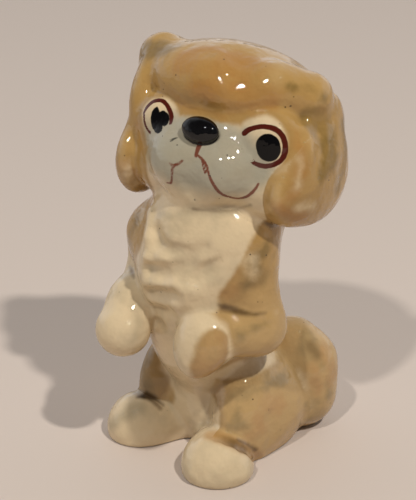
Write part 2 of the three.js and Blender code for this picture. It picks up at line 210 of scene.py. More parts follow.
def thigh_lumps():
    near = Egg((12.5, 4, 10), (18, 34, 36), turn(12, 0, 8))
    far = Egg((-11.5, 4.5, 12), (18, 31.5, 33.5), turn(12, 0, -8))
    return [near, far]


ELBOW_RADIUS = 7.4
WRIST_RADIUS = 6.5


def foreleg_lumps(side):
    """Upper arm, forearm and hanging paw."""
    if side > 0:
        shoulder, elbow = (12.25, -4, 63), (17.2, -3, 39.6)
        wrist, paw = (13, -15, 39.8), (11, -17.8, 38.8)
        upper_arm = Limb(shoulder, 9, elbow, ELBOW_RADIUS)
        hand = Egg(paw, (14, 13, 19), turn(-20))
    else:
        shoulder, elbow = (-14, -4, 57.5), (-14.2, -4, 45.5)
        wrist, paw = (-13, -15, 41.6), (-11.4, -21.8, 36.9)
        upper_arm = Limb(shoulder, 8.3, elbow, ELBOW_RADIUS)
        hand = Limb(wrist, WRIST_RADIUS, paw, 7.2)
    return [upper_arm, Limb(elbow, ELBOW_RADIUS, wrist, WRIST_RADIUS), hand]


# The toes' places across the foot, how far they reach, fan out and stand in, and their sizes
TOE_SHARES = (-1, -1 / 3, 1 / 3, 1)
TOE_REACH = 5.8
TOE_FAN = 50
TOE_INSET = 3.5
TOE_HEIGHT = 2.7
TOE_SIZES = (5.4, 6.5, 6.5)
SOLE_LENGTH = 17
SOLE_HEIGHT = 18.4
HEEL_RADIUS = 5
INSTEP_RADIUS = 6.3


def foot_lumps(side):
    """The sole of a hind foot, and its four toes in a fan in front of the ball."""
    heel = np.array([side * 4.0, -3, 3.5])
    if side > 0:
        ball, width = np.array([14.4, -15, 2.3]), 18.5
    else:
        ball, width = np.array([-14.5, -12, 2.3]), 16
    heading = math.atan2(ball[0] - heel[0], heel[1] - ball[1])
    turned = turn(0, 0, math.degrees(heading))
    across = np.array([math.cos(heading), math.sin(heading), 0])
    forward = np.array([math.sin(heading), -math.cos(heading), 0])
    toes = []
    for share in TOE_SHARES:
        reach = TOE_REACH * math.cos(math.radians(TOE_FAN * share))
        place = ball + across * share * (width / 2 - TOE_INSET) + forward * reach
        toes.append(Egg((place[0], place[1], TOE_HEIGHT), TOE_SIZES, turned))
    sole = Egg(ball, (width, SOLE_LENGTH, SOLE_HEIGHT), turned)
    return [sole, Limb(heel, HEEL_RADIUS, ball, INSTEP_RADIUS)], toes


def tail_lumps():
    """The tail grows from the middle of the back, and its end stands up behind the near haunch."""
    root, low, top, tip = (6, 25, 11), (15.7, 20.5, 9.3), (15.7, 20.5, 18.5), (13.7, 18.5, 25)
    thick = 8.5
    return [Limb(root, 8, low, thick), Limb(low, thick, top, thick), Limb(top, thick, tip, 6.5)]


TRUNK, THIGHS = trunk_lumps(), thigh_lumps()
FACE, MUZZLE, CAP = head_lumps()
EARS = {side: ear_lumps(side) for side in SIDES.values()}
FORELEGS = {side: foreleg_lumps(side) for side in SIDES.values()}
FEET = {side: foot_lumps(side) for side in SIDES.values()}
TAIL = tail_lumps()
NOSE = Egg((0.5, -20.5, 0.3), (10, 5, 6.6)).on_head()

# How wide the soft crease is where lumps or pieces meet, in millimetres
SOFT = {
    "trunk": 6, "bib": 1.6, "near thigh": 3.0, "far thigh": 1.8, "folds": 2.6, "foreleg": 3.5,
    "sole": 6, "toes": 0.7, "tail": 6, "head": 3.5, "cap": 1.3, "armpit": 1.6, "hind foot": 1.6,
    "tail root": 2.0, "near ear": 5, "far ear": 2.6, "neck": 2.0, "nose": 0.5, "dents": 1.4, "base": 0.8,
}
# The seam of a foreleg is this much softer at the shoulder, and fades between these two heights
SHOULDER_SOFTER = 5
SHOULDER_FADE = (46, 58)
# The seam of the near ear is this much sharper under the cap, in the head's own frame
CAP_SHARPER = 3.6
CAP_FADE = (5, 9)

# How far out the search for the front skin goes, and how often it halves that way
FRONT_REACH = 40.0
HALVINGS = 24


def front_of(field, places):
    """The points on the front skin of a field at places given as (across, up)."""
    across, up = np.array(places, float).T
    near, far = np.zeros(len(across)), np.full(len(across), FRONT_REACH)
    for _ in range(HALVINGS):
        middle = (near + far) / 2
        outside = field(np.stack([across, -middle, up], 1)) > 0
        near, far = np.where(outside, near, middle), np.where(outside, middle, far)
    return np.stack([across, -near, up], 1)


def trunk(points):
    return blend(SOFT["trunk"], *distances_to(TRUNK, points))


def chest_line(places, radius, outwards):
    """A line of limbs along the chest, through places given as (across, up)."""
    return limbs_along(front_of(trunk, places) - [0, outwards, 0], radius)


# Folds in the hair of the chest, and the raised edge of its bib: the places along each, its
# radius and how far its middle stands out of the trunk
FOLD_LINES = (
    (((-3.2, 65.6), (-1.2, 63.6), (2.5, 62.6), (5.0, 63.0)), 1.0, 0.5),
    (((5.0, 63.0), (8.6, 62.6), (11.5, 64.5)), 0.9, 0.7),
    (((-3.2, 56.0), (0.5, 56.4), (3.4, 57.2), (6, 58.4), (8.6, 59.8)), 1.7, 0.2),
    (((7.6, 56.2), (10.5, 57.0), (12.6, 59.0), (14.0, 61.6)), 1.2, 0.4),
    (((-3.6, 48.9), (0.9, 49.9), (4.6, 51.2)), 1.5, 0.1),
    (((-4.6, 43.2), (-1.1, 44), (2.6, 45.4)), 1.2, 0.6),
    (((-5.0, 39.2), (-2.4, 39.6)), 0.9, 0.6),
)
FOLDS = [fold for line in FOLD_LINES for fold in chest_line(*line)]
BIB_EDGE = chest_line(((-7.3, 68), (-5.2, 63), (-4.0, 58), (-4.2, 50)), 1.6, -0.9)

# The crease round the near foot, and the wide dents down the near ear and across the cap of hair
FOOT_CREASE = (
    (13.2, -16.4, 12.6), (15.5, -16.3, 12.2), (18, -15.3, 11.6), (20.9, -13.2, 9.6), (22, -9.9, 6.2),
    (21, -5, 1),
)
EAR_DENT = ((30.7, 6.9, 94.8), (33.7, 5.7, 89.3), (34.7, 3.7, 84.3))
CAP_DENT = ((6.7, 3.9, 115.5), (11, -1.7, 113.7), (13.6, -6.5, 110.4), (15.7, -9.3, 105.4))
FOOT_CREASE_RADIUS = 1.1
EAR_DENT_RADIUS = 4
CAP_DENT_RADIUS = 7
DENTS = [
    *limbs_along(FOOT_CREASE, FOOT_CREASE_RADIUS), *limbs_along(EAR_DENT, EAR_DENT_RADIUS),
    *limbs_along(CAP_DENT, CAP_DENT_RADIUS),
]


def torso(points):
    chest = blend(SOFT["bib"], trunk(points), *distances_to(BIB_EDGE, points))
    near_thigh, far_thigh = distances_to(THIGHS, points)
    body = blend(SOFT["near thigh"], chest, near_thigh)
    body = blend(SOFT["far thigh"], body, far_thigh)
    return carve(SOFT["folds"], body, *distances_to(FOLDS, points))


def foreleg(points, side):
    return blend(SOFT["foreleg"], *distances_to(FORELEGS[side], points))


def foot(points, side):
    sole, toes = FEET[side]
    return blend(SOFT["toes"], blend(SOFT["sole"], *distances_to(sole, points)), *distances_to(toes, points))


def tail(points):
    return blend(SOFT["tail"], *distances_to(TAIL, points))


def face_and_cap(points):
    """The distances to the face with its muzzle, and to the cap of hair."""
    muzzle = blend(SOFT["head"], *distances_to(MUZZLE, points))
    face = blend(SOFT["head"], *distances_to(FACE, points), muzzle)
    return face, blend(SOFT["head"], *distances_to(CAP, points))


def head(points):
    return blend(SOFT["cap"], *face_and_cap(points))


def ear(points, side):
    return blend(SOFT["head"], *distances_to(EARS[side], points))


def piece_distances(points):
    """The distance from each point to each piece of the figure."""
    found = {"torso": torso(points), "head": head(points), "nose": NOSE(points), "tail": tail(points)}
    for name, side in SIDES.items():
        found[name + "_ear"] = ear(points, side)
        found[name + "_foreleg"] = foreleg(points, side)
        found[name + "_hind_foot"] = foot(points, side)
    return found


def figure(points):
    """Signed distance to the whole figure, with every joint smoothed over as the glaze does."""
    found = piece_distances(points)
    total = found["torso"]
    arm_seam = SOFT["armpit"] + SHOULDER_SOFTER * rise(*SHOULDER_FADE, points[:, 2])
    for name in SIDES:
        total = blend(arm_seam, total, found[name + "_foreleg"])
        total = blend(SOFT["hind foot"], total, found[name + "_hind_foot"])
    total = blend(SOFT["tail root"], total, found["tail"])
    ear_seam = SOFT["near ear"] - CAP_SHARPER * rise(*CAP_FADE, to_head(points)[:, 2])
    skull = blend(ear_seam, found["head"], found["left_ear"])
    skull = blend(SOFT["far ear"], skull, found["right_ear"])
    total = blend(SOFT["neck"], total, skull)
    total = blend(SOFT["nose"], total, found["nose"])
    total = carve(SOFT["dents"], total, *distances_to(DENTS, points))
    return carve(SOFT["base"], total, points[:, 2])


# Clay form

# The longest step of the skin in millimetres, and how often it is moved and relaxed
LONGEST_STEP = 1.2
FIRST_ROUNDS = 3
LATER_ROUNDS = 2
PASSES = 3
RELAX_ROUNDS = 3
RELAX = 0.5


def read(items, name, width=1, kind=float):
    """One number, or a row of them, from each item of a mesh."""
    values = np.empty(len(items) * width, kind)
    items.foreach_get(name, values)
    return values.reshape(-1, width) if width > 1 else values


def edges_of(mesh):
    return read(mesh.edges, "vertices", 2, np.int64)


def places_of(mesh):
    return read(mesh.vertices, "co", 3) / MM


def set_places(mesh, points):
    mesh.vertices.foreach_set("co", (points * MM).ravel())
    mesh.update()


def normals_of(mesh):
    return read(mesh.vertex_normals, "vector", 3)


def averaged(values, edges):
    """Each vertex takes the mean of its neighbours."""
    count = len(values)
    first, second = edges.T
    degree = np.bincount(edges.ravel(), minlength=count)[:, None]
    columns = [
        np.bincount(first, column[second], count) + np.bincount(second, column[first], count)
        for column in values.T
    ]
    return np.stack(columns, 1) / degree


def settle(form, rounds):
    """Moves the skin along its normals until it lies on the figure's surface."""
    for _ in range(rounds):
        points = places_of(form)
        height = figure(points)[:, None]
        set_places(form, points - np.clip(height, -LONGEST_STEP, LONGEST_STEP) * normals_of(form))


def rough_form(voxel):
    """The lumps pressed together into one closed skin, flat underneath."""
    clay = bmesh.new()
    lumps = [*TRUNK, *THIGHS, *FACE, *MUZZLE, *CAP, *TAIL, NOSE]
    for side in SIDES.values():
        lumps += EARS[side] + FORELEGS[side] + FEET[side][0]
    for lump in lumps:
        lump.shell(clay)
    mesh = bpy.data.meshes.new("rough form")
    clay.to_mesh(mesh)
    clay.free()
    rough = bpy.data.objects.new("rough form", mesh)
    bpy.context.scene.collection.objects.link(rough)
    remesh = rough.modifiers.new("Press together", "REMESH")
    remesh.mode = "VOXEL"
    remesh.voxel_size = voxel
    settled = rough.evaluated_get(bpy.context.evaluated_depsgraph_get())
    form = bpy.data.meshes.new_from_object(settled)
    bpy.data.objects.remove(rough)
    points = places_of(form)
    points[:, 2] = np.maximum(points[:, 2], 0)
    set_places(form, points)
    return form


# The vent hole in the base: its axis, radius, depth and soft lip, and what counts as underside
VENT_PLACE = (0, 11)
VENT_RADIUS = 4.5
VENT_DEPTH = 6
VENT_LIP = 0.4
UNDERSIDE = 0.5


def from_vent(points):
    """The distance from the axis of the vent hole."""
    return np.hypot(points[:, 0] - VENT_PLACE[0], points[:, 1] - VENT_PLACE[1])


def press_vent(form):
    """Presses the vent hole up into the flat underside."""
    points = places_of(form)
    depth = VENT_DEPTH * rise(VENT_RADIUS + VENT_LIP, VENT_RADIUS - VENT_LIP, from_vent(points))
    points[:, 2] += np.where(points[:, 2] < UNDERSIDE, depth, 0)
    set_places(form, points)


def clay_form(voxel):
    """The fine skin of the whole figure, smoothed onto its true shape."""
    form = rough_form(voxel)
    edges = edges_of(form)
    settle(form, FIRST_ROUNDS)
    for _ in range(PASSES):
        points = places_of(form)
        for _ in range(RELAX_ROUNDS):
            points = points + RELAX * (averaged(points, edges) - points)
        set_places(form, points)
        settle(form, LATER_ROUNDS)
    press_vent(form)
    return form


# Glaze: what the kiln does with the shape

# How wide the surroundings are that a crease is measured against, in millimetres
HOLLOW_REACH = 2.4


def hollows(form):
    """How far the surface lies below its surroundings, in millimetres: above zero in a crease."""
    edges = edges_of(form)
    points = places_of(form)
    grain = np.linalg.norm(points[edges[:, 0]] - points[edges[:, 1]], axis=1).mean()
    soft = points
    for _ in range(round((HOLLOW_REACH / grain) ** 2)):
        soft = averaged(soft, edges)
    return ((soft - points) * normals_of(form)).sum(1)


def write(form, name, values):
    layer = form.attributes.new(name, "FLOAT", "POINT")
    layer.data.foreach_set("value", values.astype(np.float32))


# Painted areas. A stroke is a row of places with the half width of the brush at each, all in
# millimetres: (x, y, z, half width). On the face the places are (across, up, half width) in the
# head's own frame, and the front skin of the head gives their depth.

# Pale glaze: the bib with the belly under it, and the thin pale lines between limbs
BIB = (
    (6.4, -15, 73, 16.5), (5.6, -17.5, 67, 15.7), (5, -20.5, 61.4, 14.2), (2.8, -22, 55, 13.4),
    (1.4, -20.5, 49.5, 14.3), (0, -20, 40, 15),
)
BELLY = (
    (0, -20, 44, 15), (-1, -20, 38, 15), (-1, -16, 26, 12.5), (-0.5, -15, 18, 9.6), (2.5, -17, 12, 11.5),
    (1, -16, 2, 12),
)
UNDER_FOREARM = (
    (6, -10, 25.6, 2.4), (12.9, -6.6, 26.4, 2.3), (15.7, -4.2, 26.6, 2.2), (17.2, 0.1, 26.8, 2.2),
    (17.6, 5.6, 27, 2.2), (17.4, 11, 27.6, 2.4), (16.5, 14, 31, 3), (15.5, 14, 37, 3.2), (15, 13.5, 43, 2),
)
BESIDE_TAIL = (
    (17.5, 13.2, 27.8, 1.8), (20.5, 13, 22.9, 0.8), (22.7, 13.3, 18.5, 0.7), (23.6, 14.1, 13.3, 0.7),
    (23.2, 13.9, 8.7, 0.6), (21.7, 15.3, 3.1, 0.5),
)
ABOVE_FAR_HAUNCH = ((-6, -10, 25.6, 2.4), (-12.5, -5, 27.5, 2.3), (-15.5, 3, 28, 2.2), (-16, 11, 29, 2.4))
# The near paw is pale, with a tan leaf on its outer side
PAW = ((11, -20, 38.8, 9.7), (11, -20.5, 35, 9.5))
LEAF = (
    (16.9, -18.9, 44.6, 0.9), (16.8, -19.7, 41.6, 3.6), (16.4, -20.6, 38.5, 4.5), (15.6, -20.8, 35.5, 4.7),
    (14.8, -20.2, 32.5, 4.2),
)
# The pale part of the face, in the head's own frame but with its depth: (x, y, z, half width)
FACE_PALE = (
    ((15.1, -16, 0.7, 6.5), (14, -15, -8, 7.2)),
    ((14, -15, -8, 7.4), (12, -14, -15, 8.6), (2, -14, -18, 10)),
    ((-4, -17, -5.5, 8.5), (8, -17, -6, 9.5)),
    ((-9, -16, -9, 6.4), (-6, -14, -16, 9)),
    ((-13.2, -17, 0.4, 5.6), (-11, -17, -3, 6)),
)
# Grey-green and orange patches in the tan; the grey-green on top of the tail and on the far knee is partly
# painted shade
OLIVE = (
    ((21.5, 3.5, 103.5, 0.3), (24, 7.5, 101.5, 0.6), (27, 10, 99.5, 0.8)),
    ((-21, 0, 104.5, 3.0), (-13, 0, 106.5, 2.6)),
    ((21.7, -5.2, 63.7, 1.6), (20.7, -8.6, 61, 1), (21.9, -7.1, 55.8, 1.6), (19.6, -11.1, 54.5, 0.8)),
    ((14, -10, 20.4, 1.3), (17.5, -7.4, 20.9, 1.2), (19.2, -2.4, 21.2, 1.2), (19.7, 6.5, 20.9, 1.6)),
    ((17.1, -10.4, 17.2, 1.2), (17.9, -10.8, 14.1, 1.6), (19.6, -8.7, 12.3, 1.2)),
    ((19.4, 16.6, 28, 2), (21.1, 16.8, 26.4, 3.4), (22.9, 17.3, 24.6, 3.6), (24.2, 17.2, 22, 2.6)),
    ((24.3, 15.2, 10.4, 1.8), (24.2, 16.3, 6.2, 2.4), (20, 22, 3, 4)),
    ((25.8, 19, 15.5, 0.8), (25.8, 19.7, 11.5, 1.2)),
    ((20.6, -13.1, 41.7, 0.9), (21.8, -10.5, 42.7, 0.9), (23.4, -7.6, 43.7, 0.9)),
    ((28.8, 9.8, 91.4, 3), (30.7, 9.5, 85.8, 3.4), (31.4, 4.2, 81.5, 2)),
    ((26.2, 7, 95.2, 3), (27.9, 8.9, 93, 3)),
    ((27, 20.5, 90, 2.5), (29.8, 18, 82.6, 2.5), (30.5, 13, 76, 2)),
    ((-15.9, -8, 20.5, 2.8), (-13.7, -10.5, 15.5, 2.4)),
    ((-14.5, -10.5, 62.5, 2), (-16.5, -11, 56, 2.6)),
    ((8, 22, 62, 5), (-6, 23, 48, 5)),
    ((-4, 26, 96, 6), (10, 27, 92, 5)),
    ((2, 27, 20, 4), (-10, 25, 12, 5)),
)
WARM = (
    ((-3.6, -4, 107.2, 4.5), (4.7, -1.3, 108.2, 5.5), (13, 1.2, 107.1, 4.5)),
    ((2, -7.8, 100.8, 3), (10.6, -5.6, 101.3, 4), (18.5, -1, 101, 3.4)),
    ((17.6, -13.1, 58, 1.8), (16.3, -13.8, 52.3, 1.8)),
    ((16.8, -19.7, 41.6, 3), (15.6, -20.8, 35.5, 4.5), (14.8, -20.2, 31.5, 4)),
    ((20.4, -2.5, 17.7, 2.2), (21.5, 1.9, 15.2, 2.6)),
    ((20.4, -6.1, 14.3, 1.8), (21.1, -4.8, 11.4, 2.2), (19.9, -8.3, 10.2, 1.8)),
    ((23.8, 15.4, 21, 1.4), (24.5, 15.4, 17.6, 1.8), (24.8, 15.9, 13.9, 1.4)),
    ((23.6, 20.3, 24.4, 2), (25.6, 21, 16, 2)),
    ((26.3, 0.6, 93.2, 1.2), (29.8, -1.4, 86, 1.2), (28.4, -5, 79, 1.6)),
    ((27.8, -7.4, 76.5, 2), (29, -1, 72.5, 2.2)),
    ((-17.5, -10.8, 72.6, 2.6), (-18, -13.3, 77.9, 2.2)),
    ((-15, -10, 89, 0.9), (-13, -11.5, 83.1, 0.9)),
    ((-6, 22, 66, 5), (6, 24, 50, 5), (-4, 26, 34, 6)),
    ((-10, 20, 102, 5), (16, 24, 98, 4)),
)
# Brown lines in the deepest creases, and the gold glow round them
DARK = (
    ((14.6, -15, 49.4, 0.3), (15.4, -13.9, 48.6, 0.9), (17.4, -11.7, 47.2, 0.9), (19.4, -10.7, 46.8, 0.7),
     (21.4, -9.3, 46.4, 0.5), (22.8, -6.5, 46.2, 0.2)),
    tuple((*place, width) for place, width in zip(FOOT_CREASE[1:], (0.9, 1.5, 1.6, 1.3, 0.4))),
    ((-12.4, -12.1, 11.8, 0.6), (-10, -11.6, 10.9, 0.6), (-8, -11.4, 9.6, 0.6)),
    ((19.1, -12.4, 10.3, 0.5), (20.1, -10.3, 8.5, 0.5), (20.3, -6.1, 4.6, 0.5)),
    ((6.5, -14.8, 73.2, 0.05), (12, -11.9, 73.1, 0.1), (15.5, -9, 73.3, 0.15), (19, -8, 75.3, 0.1)),
    ((-14, -13.4, 11.8, 0.6), (-12.6, -11.8, 12, 1.2), (-10.6, -11.1, 11.6, 0.9), (-8, -10, 9.8, 0.3)),
    ((21, -4.6, 69.8, 0.4), (21.3, -1.7, 68.4, 1), (21, 1.5, 67, 0.6)),
    ((-16.8, -12.3, 49.6, 0.3), (-14.5, -14.2, 49.6, 0.5), (-12, -16, 49, 0.2)),
    ((-17.5, -9.5, 69.6, 0.4), (-14.5, -10.5, 69.4, 0.8), (-11.5, -12.5, 70, 0.3)),
)
GOLD = (
    tuple((*place, 2.2) for place in FOOT_CREASE),
    ((3, -12, 4.5, 0.8), (1.5, -14, 2.4, 0.8)),
    ((3.4, -16.8, 39, 0.2), (4, -15.6, 33, 0.4), (8, -14.5, 29.2, 0.3)),
)
# Painted shade as thicker glaze where shade falls: under the chin, over the far hind foot, on top of the tail
# and inside the far paw; on the far knob of the cap the glaze is thicker
THICK_AND_SHADE = (
    ((-3.6, -15.6, 69.6, 2.6), (1.5, -17, 70.6, 2.4), (6.9, -14.9, 73.2, 2.6), (11.3, -12.3, 73.1, 3),
     (15.1, -9.1, 73.3, 3), (18.8, -8, 75, 2)),
    ((-17.8, -20.1, 4.8, 3.2), (-14.2, -18.7, 8.6, 3.2), (-11.5, -15.7, 10.3, 3.2)),
    ((-17.2, 0, 106.1, 1.5), (-14.3, -0.7, 106.4, 1.5)),
    ((19.6, 16.2, 27.8, 1.6), (21.3, 16.8, 26.2, 3.2), (23, 17.3, 24.2, 3)),
    ((-9, -20.8, 46, 2), (-6.4, -21.5, 43.5, 3), (-4.5, -23, 40.6, 3), (-4.5, -25.5, 37, 2.4)),
)
# Places where the glaze is so thin that the cream shows; the last row is a painted highlight on the lower
# lobe of the far ear
THIN_AND_LIT = (
    ((20.5, -9.6, 61, 2.4), (20.9, -9.6, 58.6, 2.4)),
    ((19.2, -17, 41.5, 0.5), (19.6, -15.6, 37, 0.5)),
    ((27.4, -1.4, 92, 0.5), (29.6, -2.2, 86, 0.6), (29.8, -4, 81, 0.6)),
    ((-14.4, -10.5, 88, 0.4), (-13.2, -11.5, 82, 0.4)),
    ((29.9, -2.6, 75.6, 1.2), (30.8, 1.4, 75, 1.2)),
    ((20.7, 11.5, 19.3, 1.2), (22.3, 12.2, 15.8, 1.2)),
    ((-16.5, -11.8, 76.3, 2.5), (-17.2, -10.4, 72.6, 2.5)),
)
# Black specks burnt into the glaze
SPECKS = ((5.3, -1.1, 108.2), (22.4, 3.2, 98.5), (7.3, -15.2, 76.0), (3.0, -24.5, 36.5), (-9.0, -20.0, 60.0))

# Drawn lines of the face: rims of the eyes, pupils and the glints left in them, and mouth
RIMS = (
    ((-18.0, 0.7, 0.22), (-17.6, 2.1, 0.4), (-16.7, 3.6, 0.42), (-15.3, 4.6, 0.44), (-13.6, 4.8, 0.42),
     (-12.2, 4.2, 0.42), (-10.8, 3.0, 0.46), (-9.7, 1.5, 0.48), (-9.2, 0.0, 0.36)),
    ((-17.8, 0.4, 0.24), (-17.1, -1.6, 0.24), (-15.9, -3.0, 0.26), (-14.2, -3.8, 0.2)),
    ((10.8, 2.0, 0.62), (11.7, 3.0, 0.6), (13.2, 3.9, 0.52), (15.2, 4.6, 0.5), (17.2, 4.8, 0.55),
     (18.8, 4.4, 0.6), (20.2, 3.2, 0.6), (21.0, 1.4, 0.58), (21.2, -0.2, 0.62), (20.9, -1.8, 0.56),
     (20.0, -3.1, 0.5), (18.6, -4.1, 0.48), (16.8, -4.7, 0.5), (14.9, -4.5, 0.42), (14.2, -4.1, 0.4)),
)
PUPILS = (
    ((-14.5, 3.1, 0.15), (-14.4, 1.9, 0.95), (-14.0, 0.4, 1.45), (-13.0, -1.2, 1.75), (-12.0, -2.0, 1.3)),
    ((-12.3, 1.7, 0.9), (-11.4, 0.9, 1.25), (-11.0, -0.1, 1.1)),
    ((17.45, 0.3, 3.0), (17.75, -0.6, 2.95)),
)
GLINTS = (((-11.0, -1.45, 0.42), (-10.6, -1.7, 0.4)),)
MOUTH = (
    ((1.35, -2.6, 0.62), (1.25, -4.3, 0.5), (1.35, -6.0, 0.34)),
    ((2.0, -5.8, 0.16), (3.7, -6.6, 0.26), (5.1, -7.8, 0.22), (6.1, -9.8, 0.2), (7.4, -11.8, 0.34),
     (8.7, -13.4, 0.32), (10.5, -14.0, 0.22), (12.4, -13.8, 0.22), (14.3, -12.6, 0.28), (15.7, -10.8, 0.26),
     (16.4, -9.2, 0.14)),
    ((3.5, -7.0, 0.12), (4.2, -8.2, 0.12), (5.0, -9.4, 0.22)),
)
FAINT_LINES = (
    ((-1.8, -7.9, 0.16), (-2.7, -8.9, 0.26), (-3.9, -9.8, 0.3), (-4.2, -11.4, 0.24), (-4.3, -13.1, 0.2),
     (-4.8, -14.2, 0.24), (-6.0, -14.4, 0.18)),
    ((-3.9, -9.8, 0.24), (-5.0, -9.4, 0.2)),
)
TICK = (((-6.4, -4.2, 0.2), (-5.9, -3.4, 0.28), (-5.0, -2.8, 0.12)), ((-6.9, -3.9, 0.12), (-6.3, -3.5, 0.14)))
# The shade under the brow
BROW_SHADE = (
    ((-11.3, 7.2, 0.3), (-9.1, 6.2, 0.8), (-7.0, 5.0, 1.0), (-2.8, 5.0, 1.0), (1.4, 5.1, 0.8),
     (4.6, 4.6, 0.4)),
)


CURVE_STEPS = 5


def smooth_row(places):
    """A soft curve through the given places, as a longer row."""
    places = np.array(places, float)
    ends = np.vstack([2 * places[0] - places[1], places, 2 * places[-1] - places[-2]])
    t = np.linspace(0, 1, CURVE_STEPS, endpoint=False)[:, None]
    spans = [
        0.5 * (2 * b + (c - a) * t + (2 * a - 5 * b + 4 * c - d) * t**2 + (3 * b - a - 3 * c + d) * t**3)
        for a, b, c, d in zip(ends, ends[1:], ends[2:], ends[3:])
    ]
    return np.vstack([*spans, places[-1:]])


def on_face(rows):
    """Soft curves drawn on the front of the head."""
    drawn = []
    for places in rows:
        row = smooth_row(places)
        front = front_of(lambda points: figure(on_body(points)), row[:, :2])
        drawn.append(np.column_stack([on_body(front), row[:, 2]]))
    return drawn


# How far outside them the edges of areas, of narrow marks and of drawn lines are known
AREA_REACH = 8
MARK_REACH = 4
LINE_REACH = 2


def brushed(points, rows, beyond=AREA_REACH):
    """How deep each point lies inside the nearest row of brush marks, in millimetres."""
    depth = np.full(len(points), -float(beyond))
    for row in rows:
        row = np.array(row, float)
        for start, end in zip(row, row[1:]):
            reach = beyond + max(start[3], end[3]) + np.linalg.norm(end[:3] - start[:3]) / 2
            near = np.flatnonzero(np.abs(points - (start[:3] + end[:3]) / 2).max(axis=1) < reach)
            mark = Limb(start[:3], start[3], end[:3], end[3])
            depth[near] = np.maximum(depth[near], -mark(points[near]))
    return depth


# Depths past this one are cut off
DEPTH = 4.0
# The bib ends at this height on the near foreleg, and the far foreleg is tan above this one
BIB_END = 47.5
FAR_ARM_TAN = 52
# The plane of the crease round the near foot, and how far out the haunch's tan lies beside it
CREASE_SLOPE = np.array([-0.094, 0.727, 0.68])
CREASE_SHIFT = 5.3
HAUNCH_EDGE = 13.6
# The face turns pale past this gap under the cap, and this much faster than the distance grows
PALE_GAP = 0.2
PALE_PACE = 2
# Where the tan is thin, and in the painted highlight on the far ear, the cream shows by this share of the
# depth, less a shift, up to a limit
THIN_AND_LIT_SHARE = 0.35
THIN_AND_LIT_SHIFT = 0.3
THIN_AND_LIT_MOST = 0.05


def pale_depths(points):
    """How deep each point lies in the pale glaze, for each piece by itself."""
    across, up = points[:, 0], points[:, 2]
    bib = brushed(points, [BIB])
    body = np.maximum(bib, brushed(points, [BELLY, UNDER_FOREARM, BESIDE_TAIL, ABOVE_FAR_HAUNCH]))
    face, cap = face_and_cap(points)
    muzzle = [[(*on_body(np.array(mark[:3])), mark[3]) for mark in row] for row in FACE_PALE]
    face_pale = np.minimum(brushed(points, muzzle), (cap - face) * PALE_PACE - PALE_GAP)
    # Thin tan, and the painted highlight on the far ear, let the cream show
    tan = np.minimum(THIN_AND_LIT_SHARE * brushed(points, THIN_AND_LIT) - THIN_AND_LIT_SHIFT, THIN_AND_LIT_MOST)
    left = np.maximum(np.minimum(bib, up - BIB_END), brushed(points, [PAW]))
    left = np.maximum(np.minimum(left, -brushed(points, [LEAF])), tan)
    right = np.maximum(bib, FAR_ARM_TAN - up)
    pale = np.full(len(points), DEPTH)
    above_crease = points @ CREASE_SLOPE + CREASE_SHIFT
    left_foot = np.where(across > HAUNCH_EDGE, -above_crease, DEPTH)
    return {
        "torso": body, "head": face_pale, "nose": face_pale, "tail": tan,
        "left_ear": tan, "right_ear": tan, "left_foreleg": left, "right_foreleg": right,
        "left_hind_foot": left_foot, "right_hind_foot": pale,
    }


# The cool glaze of the face, which stops above the chin so that the chin takes the brighter cream as painted
# light, how sharply it stops at the neck and how deep it is counted
COOL = Egg((1, -17, -5.5), (37, 28, 19)).on_head()
NECK_HOLD = 3
COOL_DEPTH = 8
# Two pieces share their paint over this width, so that it runs on over the seam
SHARE_WIDTH = 0.4
# A place of thicker glaze or of painted shade counts as a hollow of this share of its depth, within these
# limits
THICK_AND_SHADE_SHARE = 0.3
THICK_AND_SHADE_LIMITS = (-1, 0.8)
# The black runs this far past the nose, and the bare clay past the base's edge and the vent's
NOSE_MARGIN = 0.45
BARE_MARGIN = 0.3
VENT_MARGIN = 0.6
VENT_BEYOND = 1
BARE_DEPTH = 2
# The shade under the brow is this much narrower in the dark glaze than in the gold
BROW_NARROWER = 1.3
SPECK_RADIUS = 0.28
SPECK_LENGTH = 0.05


